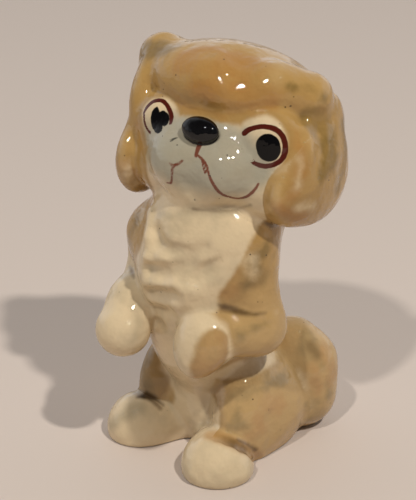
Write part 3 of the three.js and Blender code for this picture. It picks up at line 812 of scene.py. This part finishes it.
def glaze_depths(form, points, found):
    """How deep each point lies in the area of each glaze and in each drawn line."""
    names = list(found)
    distances = np.stack([found[name] for name in names], 1)
    shares = np.exp(-(distances - distances.min(axis=1, keepdims=True)) / SHARE_WIDTH)
    shares /= shares.sum(axis=1, keepdims=True)
    pale = pale_depths(points)
    pale = (np.stack([np.clip(pale[name], -DEPTH, DEPTH) for name in names], 1) * shares).sum(axis=1)
    cool = np.minimum(-COOL(points), NECK_HOLD * (found["torso"] - found["head"]))
    # Painted shade, and the thicker glaze on the cap, deepen the creases
    thick = np.clip(THICK_AND_SHADE_SHARE * brushed(points, THICK_AND_SHADE, MARK_REACH), *THICK_AND_SHADE_LIMITS)
    vent = np.minimum(VENT_RADIUS + VENT_MARGIN - from_vent(points), VENT_DEPTH + VENT_BEYOND - points[:, 2])
    bare = np.maximum(BARE_MARGIN - points[:, 2], vent)
    brow = brushed(points, on_face(BROW_SHADE), MARK_REACH)
    specks = [
        [(*place, SPECK_RADIUS), (place[0] + SPECK_LENGTH, *place[1:], SPECK_RADIUS)] for place in SPECKS
    ]
    speck = np.maximum(brushed(points, specks, LINE_REACH), brushed(points, on_face(TICK), LINE_REACH))
    pupils, glints = (brushed(points, on_face(rows), LINE_REACH) for rows in (PUPILS, GLINTS))
    return {
        "tan": -pale,
        "cool": np.clip(cool, -COOL_DEPTH, COOL_DEPTH),
        "olive": brushed(points, OLIVE),
        "warm": brushed(points, WARM),
        "hollow_and_shade": np.maximum(hollows(form), thick),
        "nose_depth": np.clip(NOSE_MARGIN - found["nose"], -DEPTH, DEPTH),
        "bare": np.clip(bare, -BARE_DEPTH, BARE_DEPTH),
        "gold": np.maximum(brushed(points, GOLD, MARK_REACH), brow),
        "dark": np.maximum(brushed(points, DARK, MARK_REACH), brow - BROW_NARROWER),
        "speck": speck,
        "rim": brushed(points, on_face(RIMS), LINE_REACH),
        "pupil": np.minimum(pupils, -glints),
        "mouth": brushed(points, on_face(MOUTH), LINE_REACH),
        "faint": brushed(points, on_face(FAINT_LINES), LINE_REACH),
    }


def mark_pieces(form, found):
    """Gives each face of the skin the number of the piece it lies on, and keeps the normals."""
    form["pieces"] = list(found)
    distances = np.stack(list(found.values()), 1)
    corners = read(form.loops, "vertex_index", kind=np.int64)
    starts = read(form.polygons, "loop_start", kind=np.int64)
    of_face = np.argmin(np.add.reduceat(distances[corners], starts), axis=1)
    form.attributes.new("piece", "INT", "FACE").data.foreach_set("value", of_face.astype(np.int32))
    layer = form.attributes.new("skin_normal", "FLOAT_VECTOR", "POINT")
    layer.data.foreach_set("vector", normals_of(form).astype(np.float32).ravel())


# Pieces

FORM = {}
# How far the rim of each piece is turned in before it is closed, in millimetres
CLOSED_DEPTH = 1.5


def close_inside(clay):
    """Turns the open rims of a skin inwards and closes them."""
    rims = [edge for edge in clay.edges if edge.is_boundary]
    grown = bmesh.ops.extrude_edge_only(clay, edges=rims)
    inner = [item for item in grown["geom"] if isinstance(item, bmesh.types.BMVert)]
    normal = clay.verts.layers.float_vector["skin_normal"]
    for vert in inner:
        vert.co -= vert[normal].normalized() * CLOSED_DEPTH * MM
        vert[normal] = (0, 0, 0)
    open_edges = [edge for edge in clay.edges if edge.is_boundary]
    bmesh.ops.smooth_vert(clay, verts=inner, factor=0.5, use_axis_x=True, use_axis_y=True, use_axis_z=True)
    bmesh.ops.holes_fill(clay, edges=open_edges, sides=0)
    bmesh.ops.triangulate(clay, faces=[face for face in clay.faces if len(face.verts) > 4])


def keep_gloss(mesh):
    """Gives each piece the normals of the whole skin, so that no seam shows in the gloss."""
    skin = read(mesh.attributes["skin_normal"].data, "vector", 3, np.float32)
    inside = ~skin.any(axis=1)
    vertex = read(mesh.loops, "vertex_index", kind=np.int64)
    normals = read(mesh.corner_normals, "vector", 3, np.float32)
    totals = read(mesh.polygons, "loop_total", kind=np.int64)
    starts = np.r_[0, np.cumsum(totals)[:-1]]
    outside = ~np.repeat(np.logical_or.reduceat(inside[vertex], starts), totals)
    normals[outside] = skin[vertex][outside]
    mesh.normals_split_custom_set(normals.tolist())
    mesh.attributes.remove(mesh.attributes["skin_normal"])


def cut_piece(name):
    """Takes one piece of the figure out of the clay form, closed where it meets its neighbours."""
    form = FORM["mesh"]
    index = list(form["pieces"]).index(name)
    clay = bmesh.new()
    clay.from_mesh(form)
    layer = clay.faces.layers.int["piece"]
    others = [face for face in clay.faces if face[layer] != index]
    bmesh.ops.delete(clay, geom=others, context="FACES")
    close_inside(clay)
    mesh = bpy.data.meshes.new(name + "_glazed")
    clay.to_mesh(mesh)
    clay.free()
    mesh.polygons.foreach_set("use_smooth", np.ones(len(mesh.polygons), bool))
    keep_gloss(mesh)
    piece = bpy.data.objects.new(name + "_glazed", mesh)
    bpy.context.scene.collection.objects.link(piece)
    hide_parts(name)
    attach(piece, BODY)
    return piece


def glazed_piece(name, finish="body glaze", paint=None):
    """One piece of the figure with its glaze."""
    piece = cut_piece(name)
    glaze = bpy.context.scene.figurine_glaze
    piece.data.materials.append(bpy.data.materials.get(finish) or glaze_material(finish, glaze, paint))


# Materials


class Nodes:
    """Short forms for building a node tree."""

    def __init__(self, tree):
        self.tree = tree

    def feed(self, socket, value):
        """Links another socket to this one, or sets its value."""
        if isinstance(value, bpy.types.NodeSocket):
            self.tree.links.new(value, socket)
        else:
            socket.default_value = value

    def add(self, kind, inputs=None, **settings):
        node = self.tree.nodes.new(kind)
        for name, value in settings.items():
            setattr(node, name, value)
        for name, value in (inputs or {}).items():
            self.feed(node.inputs[name], value)
        return node

    def math(self, operation, a, b=0.0, c=0.0):
        return self.add("ShaderNodeMath", {0: a, 1: b, 2: c}, operation=operation).outputs[0]

    def attribute(self, name):
        return self.add("ShaderNodeAttribute", attribute_name=name).outputs["Fac"]

    def step(self, value, low, high, to_low=0.0, to_high=1.0):
        """A soft change between two values of an input."""
        inputs = {"Value": value, "From Min": low, "From Max": high, "To Min": to_low, "To Max": to_high}
        return self.add("ShaderNodeMapRange", inputs, interpolation_type="SMOOTHSTEP").outputs[0]

    def fade(self, value, name):
        return self.step(value, *FADES[name])

    def mix(self, factor, a, b):
        node = self.add("ShaderNodeMix", data_type="RGBA", clamp_factor=True)
        sockets = {item.identifier: item for item in [*node.inputs, *node.outputs]}
        for name, value in (("Factor_Float", factor), ("A_Color", a), ("B_Color", b)):
            self.feed(sockets[name], value)
        return sockets["Result_Color"]

    def noise(self, vector, scale, detail, roughness=0.5):
        inputs = {"Vector": vector, "Scale": scale, "Detail": detail, "Roughness": roughness}
        return self.add("ShaderNodeTexNoise", inputs).outputs["Fac"]

    def place(self):
        return self.add("ShaderNodeTexCoord").outputs["Object"]


def colour(value):
    return (*value, 1.0)


COLOUR, VALUE = "NodeSocketColor", "NodeSocketFloat"
COLOUR_NAMES = ("Cream", "Tan", "Olive", "Warm", "Face", "Pooled", "Shadowed")


def new_group(name, inputs, outputs):
    """An empty shader node group with named sockets."""
    group = bpy.data.node_groups.new(name, "ShaderNodeTree")
    for direction, sockets in (("INPUT", inputs), ("OUTPUT", outputs)):
        for socket, kind in sockets.items():
            group.interface.new_socket(socket, in_out=direction, socket_type=kind)
    nodes = Nodes(group)
    return nodes, nodes.add("NodeGroupInput").outputs, nodes.add("NodeGroupOutput").inputs


# The sizes of the glaze's patterns, as the number of their features in a metre
CLOUDS = 110
SWELLS = 115
PORE_CLUSTERS = 170
BRUSH_DRIFT = 230
RIPPLES = 320
PORES = 520
DRY_BRUSH = 700
FINE_DRIFT = 900
HAND_WOBBLE = 1000
# Where the edge of each area begins and ends, and how far it wanders, all in millimetres
EDGES = {
    "olive": (-1.8, 1.6, 6), "warm": (-1.8, 1.6, 6), "cool": (-2.5, 2.5, 3), "tan": (-0.9, 0.9, 1.6),
    "gold": (-1.2, 1.2, 1), "dark": (-0.8, 0.8, 0.8), "tan rim": (-0.3, 0.5, 1.6),
    "tan inside rim": (2.2, 0.8, 1.6),
}
FINE_SHARE = 0.12
# How much these effects cover what lies under them, from 0 to 1
COVER = {"tan rim": 0.12, "gold": 0.62, "dark": 0.85, "specks": 0.8}
# Where each soft change begins and ends, and how strong the effect is at either end
FADES = {
    "olive in clouds": (0.3, 0.62, 0.55, 1.0), "warm between clouds": (0.7, 0.35, 0.35, 1.0),
    "stray olive": (0.6, 0.75, 0.0, 0.28), "cream near the floor": (0.07, 0.03, 0.0, 0.22),
    "thick pale": (0.42, 0.72, 0.0, 0.35), "pooled": (0.05, 0.9, 0.0, 0.5),
    "thin on a ridge": (-0.2, -0.8, 0.0, 0.35), "pore": (0.16, 0.06, 0.0, 1.0),
    "pore cluster": (0.62, 0.7, 0.0, 1.0), "speck": (-0.15, 0.1, 0.0, 1.0),
    "bare": (-0.1, 0.1, 0.0, 1.0), "pupil": (-0.14, 0.14, 0.0, 1.0), "dry brush": (0.35, 0.6, 0.45, 1.0),
    "dim side": (-0.2, 0.5, 1.0, 0.1), "ceiling": (0.2, 0.95, 1.0, 0.45),
}


def glaze_colour_group():
    """Tan glaze brushed over cream: patchy, pooled in the creases and thin on the ridges, with painted shade
    in the creases of the pale glaze and at the places of painted shade.
    """
    nodes, given, out = new_group("Glaze colour", dict.fromkeys(COLOUR_NAMES, COLOUR), {"Colour": COLOUR})
    cream, tan, olive, warm, face, pooled, shadowed = (given[name] for name in COLOUR_NAMES)
    place = nodes.place()
    drift = nodes.math("SUBTRACT", nodes.noise(place, BRUSH_DRIFT, detail=3), 0.5)
    fine = nodes.math("SUBTRACT", nodes.noise(place, FINE_DRIFT, detail=2), 0.5)
    clouds = nodes.noise(place, CLOUDS, detail=3, roughness=0.55)
    height = nodes.add("ShaderNodeSeparateXYZ", {0: place}).outputs["Z"]
    hollow_and_shade = nodes.attribute("hollow_and_shade")

    def area(name, edge=None):
        low, high, wander = EDGES[edge or name]
        depth = nodes.math("MULTIPLY_ADD", drift, wander, nodes.attribute(name))
        return nodes.step(nodes.math("MULTIPLY_ADD", fine, wander * FINE_SHARE, depth), low, high)

    def both(a, b):
        return nodes.math("MULTIPLY", a, b)

    coat = nodes.mix(both(area("olive"), nodes.fade(clouds, "olive in clouds")), tan, olive)
    coat = nodes.mix(both(area("warm"), nodes.fade(clouds, "warm between clouds")), coat, warm)
    coat = nodes.mix(nodes.fade(clouds, "stray olive"), coat, olive)
    coat = nodes.mix(nodes.fade(height, "cream near the floor"), coat, cream)
    pale = nodes.mix(area("cool"), cream, face)
    pale = nodes.mix(nodes.fade(clouds, "thick pale"), pale, shadowed)
    tan_mask = area("tan")
    glaze = nodes.mix(tan_mask, pale, coat)
    rim = both(area("tan", "tan rim"), area("tan", "tan inside rim"))
    glaze = nodes.mix(both(rim, COVER["tan rim"]), glaze, pooled)
    # In the creases and in the painted shade the tan turns to pooled glaze, and the pale glaze to grey cream
    # as painted shade
    pool = nodes.mix(tan_mask, shadowed, pooled)
    glaze = nodes.mix(nodes.fade(hollow_and_shade, "pooled"), glaze, pool)
    glaze = nodes.mix(both(area("gold"), COVER["gold"]), glaze, warm)
    glaze = nodes.mix(both(area("dark"), COVER["dark"]), glaze, pooled)
    glaze = nodes.mix(nodes.fade(hollow_and_shade, "thin on a ridge"), glaze, pale)
    nodes.feed(out["Colour"], glaze)
    return nodes.tree


# How much stronger the slow swells are than the ripples, and how far a pore is sunk
SWELL_SHARE = 2.5
PORE_DEPTH = -0.2


def glaze_surface_group():
    """The faint ripple and the pinholes of a glossy fired glaze."""
    nodes, given, out = new_group("Glaze surface", {"Ripple": VALUE}, {"Height": VALUE, "Specks": VALUE})
    place = nodes.place()
    ripple = nodes.noise(place, RIPPLES, detail=2)
    pores = nodes.add("ShaderNodeTexVoronoi", {"Vector": place, "Scale": PORES}, feature="F1")
    clustered = nodes.fade(nodes.noise(place, PORE_CLUSTERS, detail=1), "pore cluster")
    speck = nodes.math("MULTIPLY", nodes.fade(pores.outputs["Distance"], "pore"), clustered)
    swells = nodes.noise(place, SWELLS, detail=1)
    uneven = nodes.math("MULTIPLY_ADD", swells, SWELL_SHARE, ripple)
    sunk = nodes.math("MULTIPLY", speck, PORE_DEPTH)
    nodes.feed(out["Height"], nodes.math("MULTIPLY_ADD", uneven, given["Ripple"], sunk))
    nodes.feed(out["Specks"], speck)
    return nodes.tree


GROUPS = {}
# The coat is this much weaker on the pupils
PUPIL_COAT = -0.5
RELIEF_STRENGTH = 0.6
RELIEF_DEPTH = 0.0005


def glaze_material(name, glaze, paint=None):
    """A clear glossy glaze over colours that depend on the place on the figure."""
    if not GROUPS:
        GROUPS["colour"] = glaze_colour_group()
        GROUPS["surface"] = glaze_surface_group()
    material = bpy.data.materials.new(name)
    material.use_nodes = True
    material.node_tree.nodes.clear()
    nodes = Nodes(material.node_tree)
    colours = {name: colour(getattr(glaze, name.lower())) for name in COLOUR_NAMES}
    base = nodes.add("ShaderNodeGroup", colours, node_tree=GROUPS["colour"]).outputs["Colour"]
    if paint:
        base = paint(nodes, base, glaze)
    surface = nodes.add("ShaderNodeGroup", {"Ripple": glaze.ripple}, node_tree=GROUPS["surface"]).outputs
    marks = nodes.math("MAXIMUM", surface["Specks"], nodes.fade(nodes.attribute("speck"), "speck"))
    base = nodes.mix(nodes.math("MULTIPLY", marks, COVER["specks"]), base, colour(glaze.black))
    bare = nodes.fade(nodes.attribute("bare"), "bare")
    base = nodes.mix(bare, base, colour(glaze.bare))
    relief = {"Strength": RELIEF_STRENGTH, "Distance": RELIEF_DEPTH, "Height": surface["Height"]}
    bump = nodes.add("ShaderNodeBump", relief).outputs[0]
    pupil = nodes.fade(nodes.attribute("pupil"), "pupil")
    coat = nodes.math("MULTIPLY_ADD", pupil, PUPIL_COAT, nodes.math("SUBTRACT", 1.0, bare))
    shader = nodes.add(
        "ShaderNodeBsdfPrincipled",
        {
            "Base Color": base, "Roughness": 0.5, "Specular IOR Level": 0.0, "Coat Weight": coat,
            "Coat Roughness": glaze.gloss, "Coat IOR": 1.46, "Normal": bump, "Coat Normal": bump,
        },
    )
    nodes.add("ShaderNodeOutputMaterial", {"Surface": shader.outputs[0]})
    return material


# For each drawn line: how soft its edge is and how much wider the brush ran, in millimetres, how
# much it covers and its colour
LINES = {
    "faint": (0.2, 0.1, 1.0, "russet"),
    "mouth": (0.16, 0.13, 0.95, "russet"),
    "rim": (0.12, 0.14, 1.0, "maroon"),
    "pupil": (0.14, 0.0, 1.0, "black"),
    "nose_depth": (0.2, 0.0, 1.0, "black"),
}
WOBBLE = 0.2


def paint_face(nodes, base, glaze):
    """The drawn lines of the eyes and the mouth, and the black nose."""
    place = nodes.place()
    hand = nodes.math("SUBTRACT", nodes.noise(place, HAND_WOBBLE, detail=1), 0.5)
    wobble = nodes.math("MULTIPLY", hand, WOBBLE)
    patchy = nodes.fade(nodes.noise(place, DRY_BRUSH, detail=2), "dry brush")
    for name, (soft, wider, cover, paint) in LINES.items():
        edge = nodes.math("ADD", nodes.math("ADD", nodes.attribute(name), wobble), wider)
        drawn = nodes.math("MULTIPLY", nodes.step(edge, -soft, soft), cover)
        if name == "faint":
            drawn = nodes.math("MULTIPLY", drawn, patchy)
        base = nodes.mix(drawn, base, colour(getattr(glaze, paint)))
    return base


# Stage

FLOOR_SIZE = 3
FLOOR_ROUGHNESS = 0.7
FLOOR_GLOSS = 0.2
WALL_TINT = (0.97, 0.98, 1.02, 1)
# Azimuth and elevation of each lamp, in degrees: azimuth 0 is in front of the figure
LAMP_ANGLES = {"lamp right": (77, 55), "lamp left": (11, 54)}
LAMP_TINT = (1.0, 0.97, 0.93)
LAMP_TARGET = (0, 0, 0.05)
CAMERA_TARGET = (-0.0009, 0.0005, 0.0543)
FILM_WIDTH = 36


def stand(thing, azimuth, elevation, distance, target):
    """Puts a lamp or the camera at an angle round the figure and aims it."""
    a, e = math.radians(azimuth), math.radians(elevation)
    back = Vector((math.sin(a) * math.cos(e), -math.cos(a) * math.cos(e), math.sin(e)))
    thing.location = Vector(target) + back * distance
    bpy.context.scene.collection.objects.link(thing)
    direction = Vector(target) - thing.location
    thing.rotation_euler = direction.to_track_quat("-Z", "Y").to_euler()


def lay_floor(stage):
    clay = bmesh.new()
    bmesh.ops.create_grid(clay, x_segments=1, y_segments=1, size=FLOOR_SIZE)
    mesh = bpy.data.meshes.new("floor")
    clay.to_mesh(mesh)
    clay.free()
    floor = bpy.data.objects.new("floor", mesh)
    bpy.context.scene.collection.objects.link(floor)
    material = bpy.data.materials.new("paper")
    material.use_nodes = True
    shader = material.node_tree.nodes["Principled BSDF"]
    shader.inputs["Base Color"].default_value = colour(stage.floor)
    shader.inputs["Roughness"].default_value = FLOOR_ROUGHNESS
    shader.inputs["Specular IOR Level"].default_value = FLOOR_GLOSS
    mesh.materials.append(material)


def light_room(stage):
    """Pale walls all round, dimmer on one side and overhead, and two small lamps."""
    world = bpy.data.worlds.new("studio")
    world.use_nodes = True
    nodes = Nodes(world.node_tree)
    direction = nodes.add("ShaderNodeTexCoord").outputs["Generated"]
    toward = nodes.add("ShaderNodeVectorMath", {0: direction, 1: stage.dim_side}, operation="DOT_PRODUCT")
    height = nodes.add("ShaderNodeSeparateXYZ", {0: direction}).outputs["Z"]
    begins, ends, lit, dim = FADES["dim side"]
    level = nodes.step(toward.outputs["Value"], begins, ends, stage.walls * lit, stage.walls * dim)
    level = nodes.math("MULTIPLY", level, nodes.fade(height, "ceiling"))
    background = world.node_tree.nodes["Background"]
    nodes.feed(background.inputs["Color"], WALL_TINT)
    nodes.feed(background.inputs["Strength"], level)
    bpy.context.scene.world = world
    for (name, angles), watts in zip(LAMP_ANGLES.items(), (stage.right_lamp, stage.left_lamp)):
        light = bpy.data.lights.new(name, "AREA")
        light.shape = "DISK"
        light.size = stage.lamp_width
        light.energy = watts
        light.color = LAMP_TINT
        stand(bpy.data.objects.new(name, light), *angles, stage.lamp_distance, LAMP_TARGET)


def set_camera(stage):
    view = bpy.data.cameras.new("camera")
    view.lens = stage.lens
    view.sensor_width = FILM_WIDTH
    camera = bpy.data.objects.new("camera", view)
    stand(camera, stage.azimuth, stage.elevation, stage.distance, CAMERA_TARGET)
    bpy.context.scene.camera = camera
    bpy.context.scene.view_settings.view_transform = "Standard"


# The add-on


def colour_setting(name, description, default):
    """A colour that the user can change."""
    return FloatVectorProperty(
        name=name, description=description, subtype="COLOR", default=default, min=0, max=1,
    )


class FigurineShape(bpy.types.PropertyGroup):
    """Sizes of the figure's skin."""

    grain: FloatProperty(
        name="Grain", description="Size of the skin's facets", default=0.0005, min=0.0003, unit="LENGTH",
    )


class FigurineGlaze(bpy.types.PropertyGroup):
    """Colours and gloss of the glazes."""

    cream: colour_setting("Cream", "Pale glaze of chest and paws", (0.68, 0.535, 0.335))
    face: colour_setting("Face", "Cool white of the face", (0.385, 0.35, 0.26))
    tan: colour_setting("Tan", "Honey tan of the coat", (0.43, 0.26, 0.086))
    olive: colour_setting("Olive", "Grey-green patches in the tan", (0.235, 0.145, 0.042))
    warm: colour_setting("Warm", "Orange patches in the tan", (0.4, 0.205, 0.058))
    # Grey cream is the pale glaze where it lies thicker in patches, and also the painted shade of the pale
    # glaze; pooled also gives the painted shade on the tan
    shadowed: colour_setting("Grey cream", "Thicker pale glaze", (0.36, 0.295, 0.19))
    pooled: colour_setting("Pooled", "Thick glaze in the creases", (0.1, 0.055, 0.02))
    black: colour_setting("Black", "Nose and pupils", (0.003, 0.0027, 0.003))
    maroon: colour_setting("Maroon", "Rims of the eyes", (0.075, 0.01, 0.005))
    russet: colour_setting("Russet", "Lines of the mouth", (0.16, 0.04, 0.02))
    bare: colour_setting("Bare clay", "Clay without glaze, under the base", (0.6, 0.55, 0.47))
    ripple: FloatProperty(name="Ripple", description="Unevenness of the glaze", default=1.25, min=0, max=2)
    gloss: FloatProperty(
        name="Coat roughness", description="Roughness of the clear coat", default=0.02, min=0, max=1,
    )


class FigurineStage(bpy.types.PropertyGroup):
    """Floor, lamps and camera."""

    floor: colour_setting("Floor", "Colour of the floor", (0.62, 0.53, 0.46))
    walls: FloatProperty(name="Walls", description="Brightness of the walls", default=0.92, min=0, max=2)
    dim_side: FloatVectorProperty(
        name="Dim side", description="The side of the room without light", subtype="DIRECTION",
        default=(0.56, -0.71, 0.42),
    )
    right_lamp: FloatProperty(name="Right lamp", description="Light of the lamp", default=22.0, unit="POWER")
    left_lamp: FloatProperty(name="Left lamp", description="Light of the lamp", default=14.2, unit="POWER")
    lamp_width: FloatProperty(name="Lamp width", description="Of each lamp", default=0.09, unit="LENGTH")
    lamp_distance: FloatProperty(name="Lamp distance", description="Of each lamp", default=2, unit="LENGTH")
    azimuth: FloatProperty(name="Camera azimuth", description="Degrees from the front", default=38)
    elevation: FloatProperty(name="Camera elevation", description="Degrees above the floor", default=25)
    distance: FloatProperty(
        name="Camera distance", description="Distance from the figure", default=0.424, unit="LENGTH",
    )
    lens: FloatProperty(name="Lens", description="Focal length", default=117.0, min=1, unit="CAMERA")


class FIGURINE_OT_clay_form(bpy.types.Operator):
    """Press the lumps into one skin and mark the glazes on it"""

    bl_idname = "figurine.clay_form"
    bl_label = "Clay form"

    def execute(self, context):
        coarser = 1
        form = clay_form(context.scene.figurine_shape.grain * coarser)
        points = places_of(form)
        found = piece_distances(points)
        for name, depths in glaze_depths(form, points, found).items():
            write(form, name, depths)
        mark_pieces(form, found)
        FORM["mesh"] = form
        return {"FINISHED"}


class FIGURINE_OT_torso(bpy.types.Operator):
    """Take the torso out of the clay form and glaze it"""

    bl_idname = "figurine.torso"
    bl_label = "Torso"

    def execute(self, context):
        glazed_piece("torso")
        return {"FINISHED"}


class FIGURINE_OT_head(bpy.types.Operator):
    """Take the head out of the clay form, glaze it and paint the face"""

    bl_idname = "figurine.head"
    bl_label = "Head"

    def execute(self, context):
        glazed_piece("head", "head glaze", paint_face)
        return {"FINISHED"}


class FIGURINE_OT_nose(bpy.types.Operator):
    """Take the nose out of the clay form and glaze it black"""

    bl_idname = "figurine.nose"
    bl_label = "Nose"

    def execute(self, context):
        glazed_piece("nose", "head glaze", paint_face)
        return {"FINISHED"}


class FIGURINE_OT_ears(bpy.types.Operator):
    """Take both ears out of the clay form and glaze them"""

    bl_idname = "figurine.ears"
    bl_label = "Ears"

    def execute(self, context):
        for name in SIDES:
            glazed_piece(name + "_ear")
        return {"FINISHED"}


class FIGURINE_OT_forelegs(bpy.types.Operator):
    """Take both forelegs out of the clay form and glaze them"""

    bl_idname = "figurine.forelegs"
    bl_label = "Forelegs"

    def execute(self, context):
        glazed_piece("left_foreleg")
        glazed_piece("right_foreleg")
        return {"FINISHED"}


class FIGURINE_OT_hind_feet(bpy.types.Operator):
    """Take both hind feet out of the clay form and glaze them"""

    bl_idname = "figurine.hind_feet"
    bl_label = "Hind feet"

    def execute(self, context):
        for name in SIDES:
            glazed_piece(name + "_hind_foot")
        return {"FINISHED"}


class FIGURINE_OT_tail(bpy.types.Operator):
    """Take the tail out of the clay form and glaze it"""

    bl_idname = "figurine.tail"
    bl_label = "Tail"

    def execute(self, context):
        glazed_piece("tail")
        return {"FINISHED"}


class FIGURINE_OT_stage(bpy.types.Operator):
    """Set the floor, the lamps and the camera"""

    bl_idname = "figurine.stage"
    bl_label = "Stage"

    def execute(self, context):
        stage = context.scene.figurine_stage
        lay_floor(stage)
        light_room(stage)
        set_camera(stage)
        return {"FINISHED"}


OPERATORS = (
    FIGURINE_OT_clay_form, FIGURINE_OT_torso, FIGURINE_OT_head, FIGURINE_OT_nose, FIGURINE_OT_ears,
    FIGURINE_OT_forelegs, FIGURINE_OT_hind_feet, FIGURINE_OT_tail, FIGURINE_OT_stage,
)


class FIGURINE_PT_panel(bpy.types.Panel):
    """Lists the steps that build the figurine"""

    bl_idname = "FIGURINE_PT_panel"
    bl_label = "Figurine"
    bl_space_type = "VIEW_3D"
    bl_region_type = "UI"
    bl_category = "Figurine"

    def draw(self, context):
        for group in SETTINGS:
            settings = getattr(context.scene, group)
            for name in settings.__annotations__:
                self.layout.prop(settings, name)
        for operator in OPERATORS:
            self.layout.operator(operator.bl_idname)


SETTINGS = {"figurine_shape": FigurineShape, "figurine_glaze": FigurineGlaze, "figurine_stage": FigurineStage}
CLASSES = (*SETTINGS.values(), *OPERATORS, FIGURINE_PT_panel)


def register():
    for item in CLASSES:
        bpy.utils.register_class(item)
    for name, group in SETTINGS.items():
        setattr(bpy.types.Scene, name, PointerProperty(type=group))


def unregister():
    for name in SETTINGS:
        delattr(bpy.types.Scene, name)
    for item in reversed(CLASSES):
        bpy.utils.unregister_class(item)


def main():
    register()
    for operator in OPERATORS:
        family, name = operator.bl_idname.split(".")
        getattr(getattr(bpy.ops, family), name)()
    bpy.data.meshes.remove(FORM.pop("mesh"))


if __name__ == "__main__":
    main()
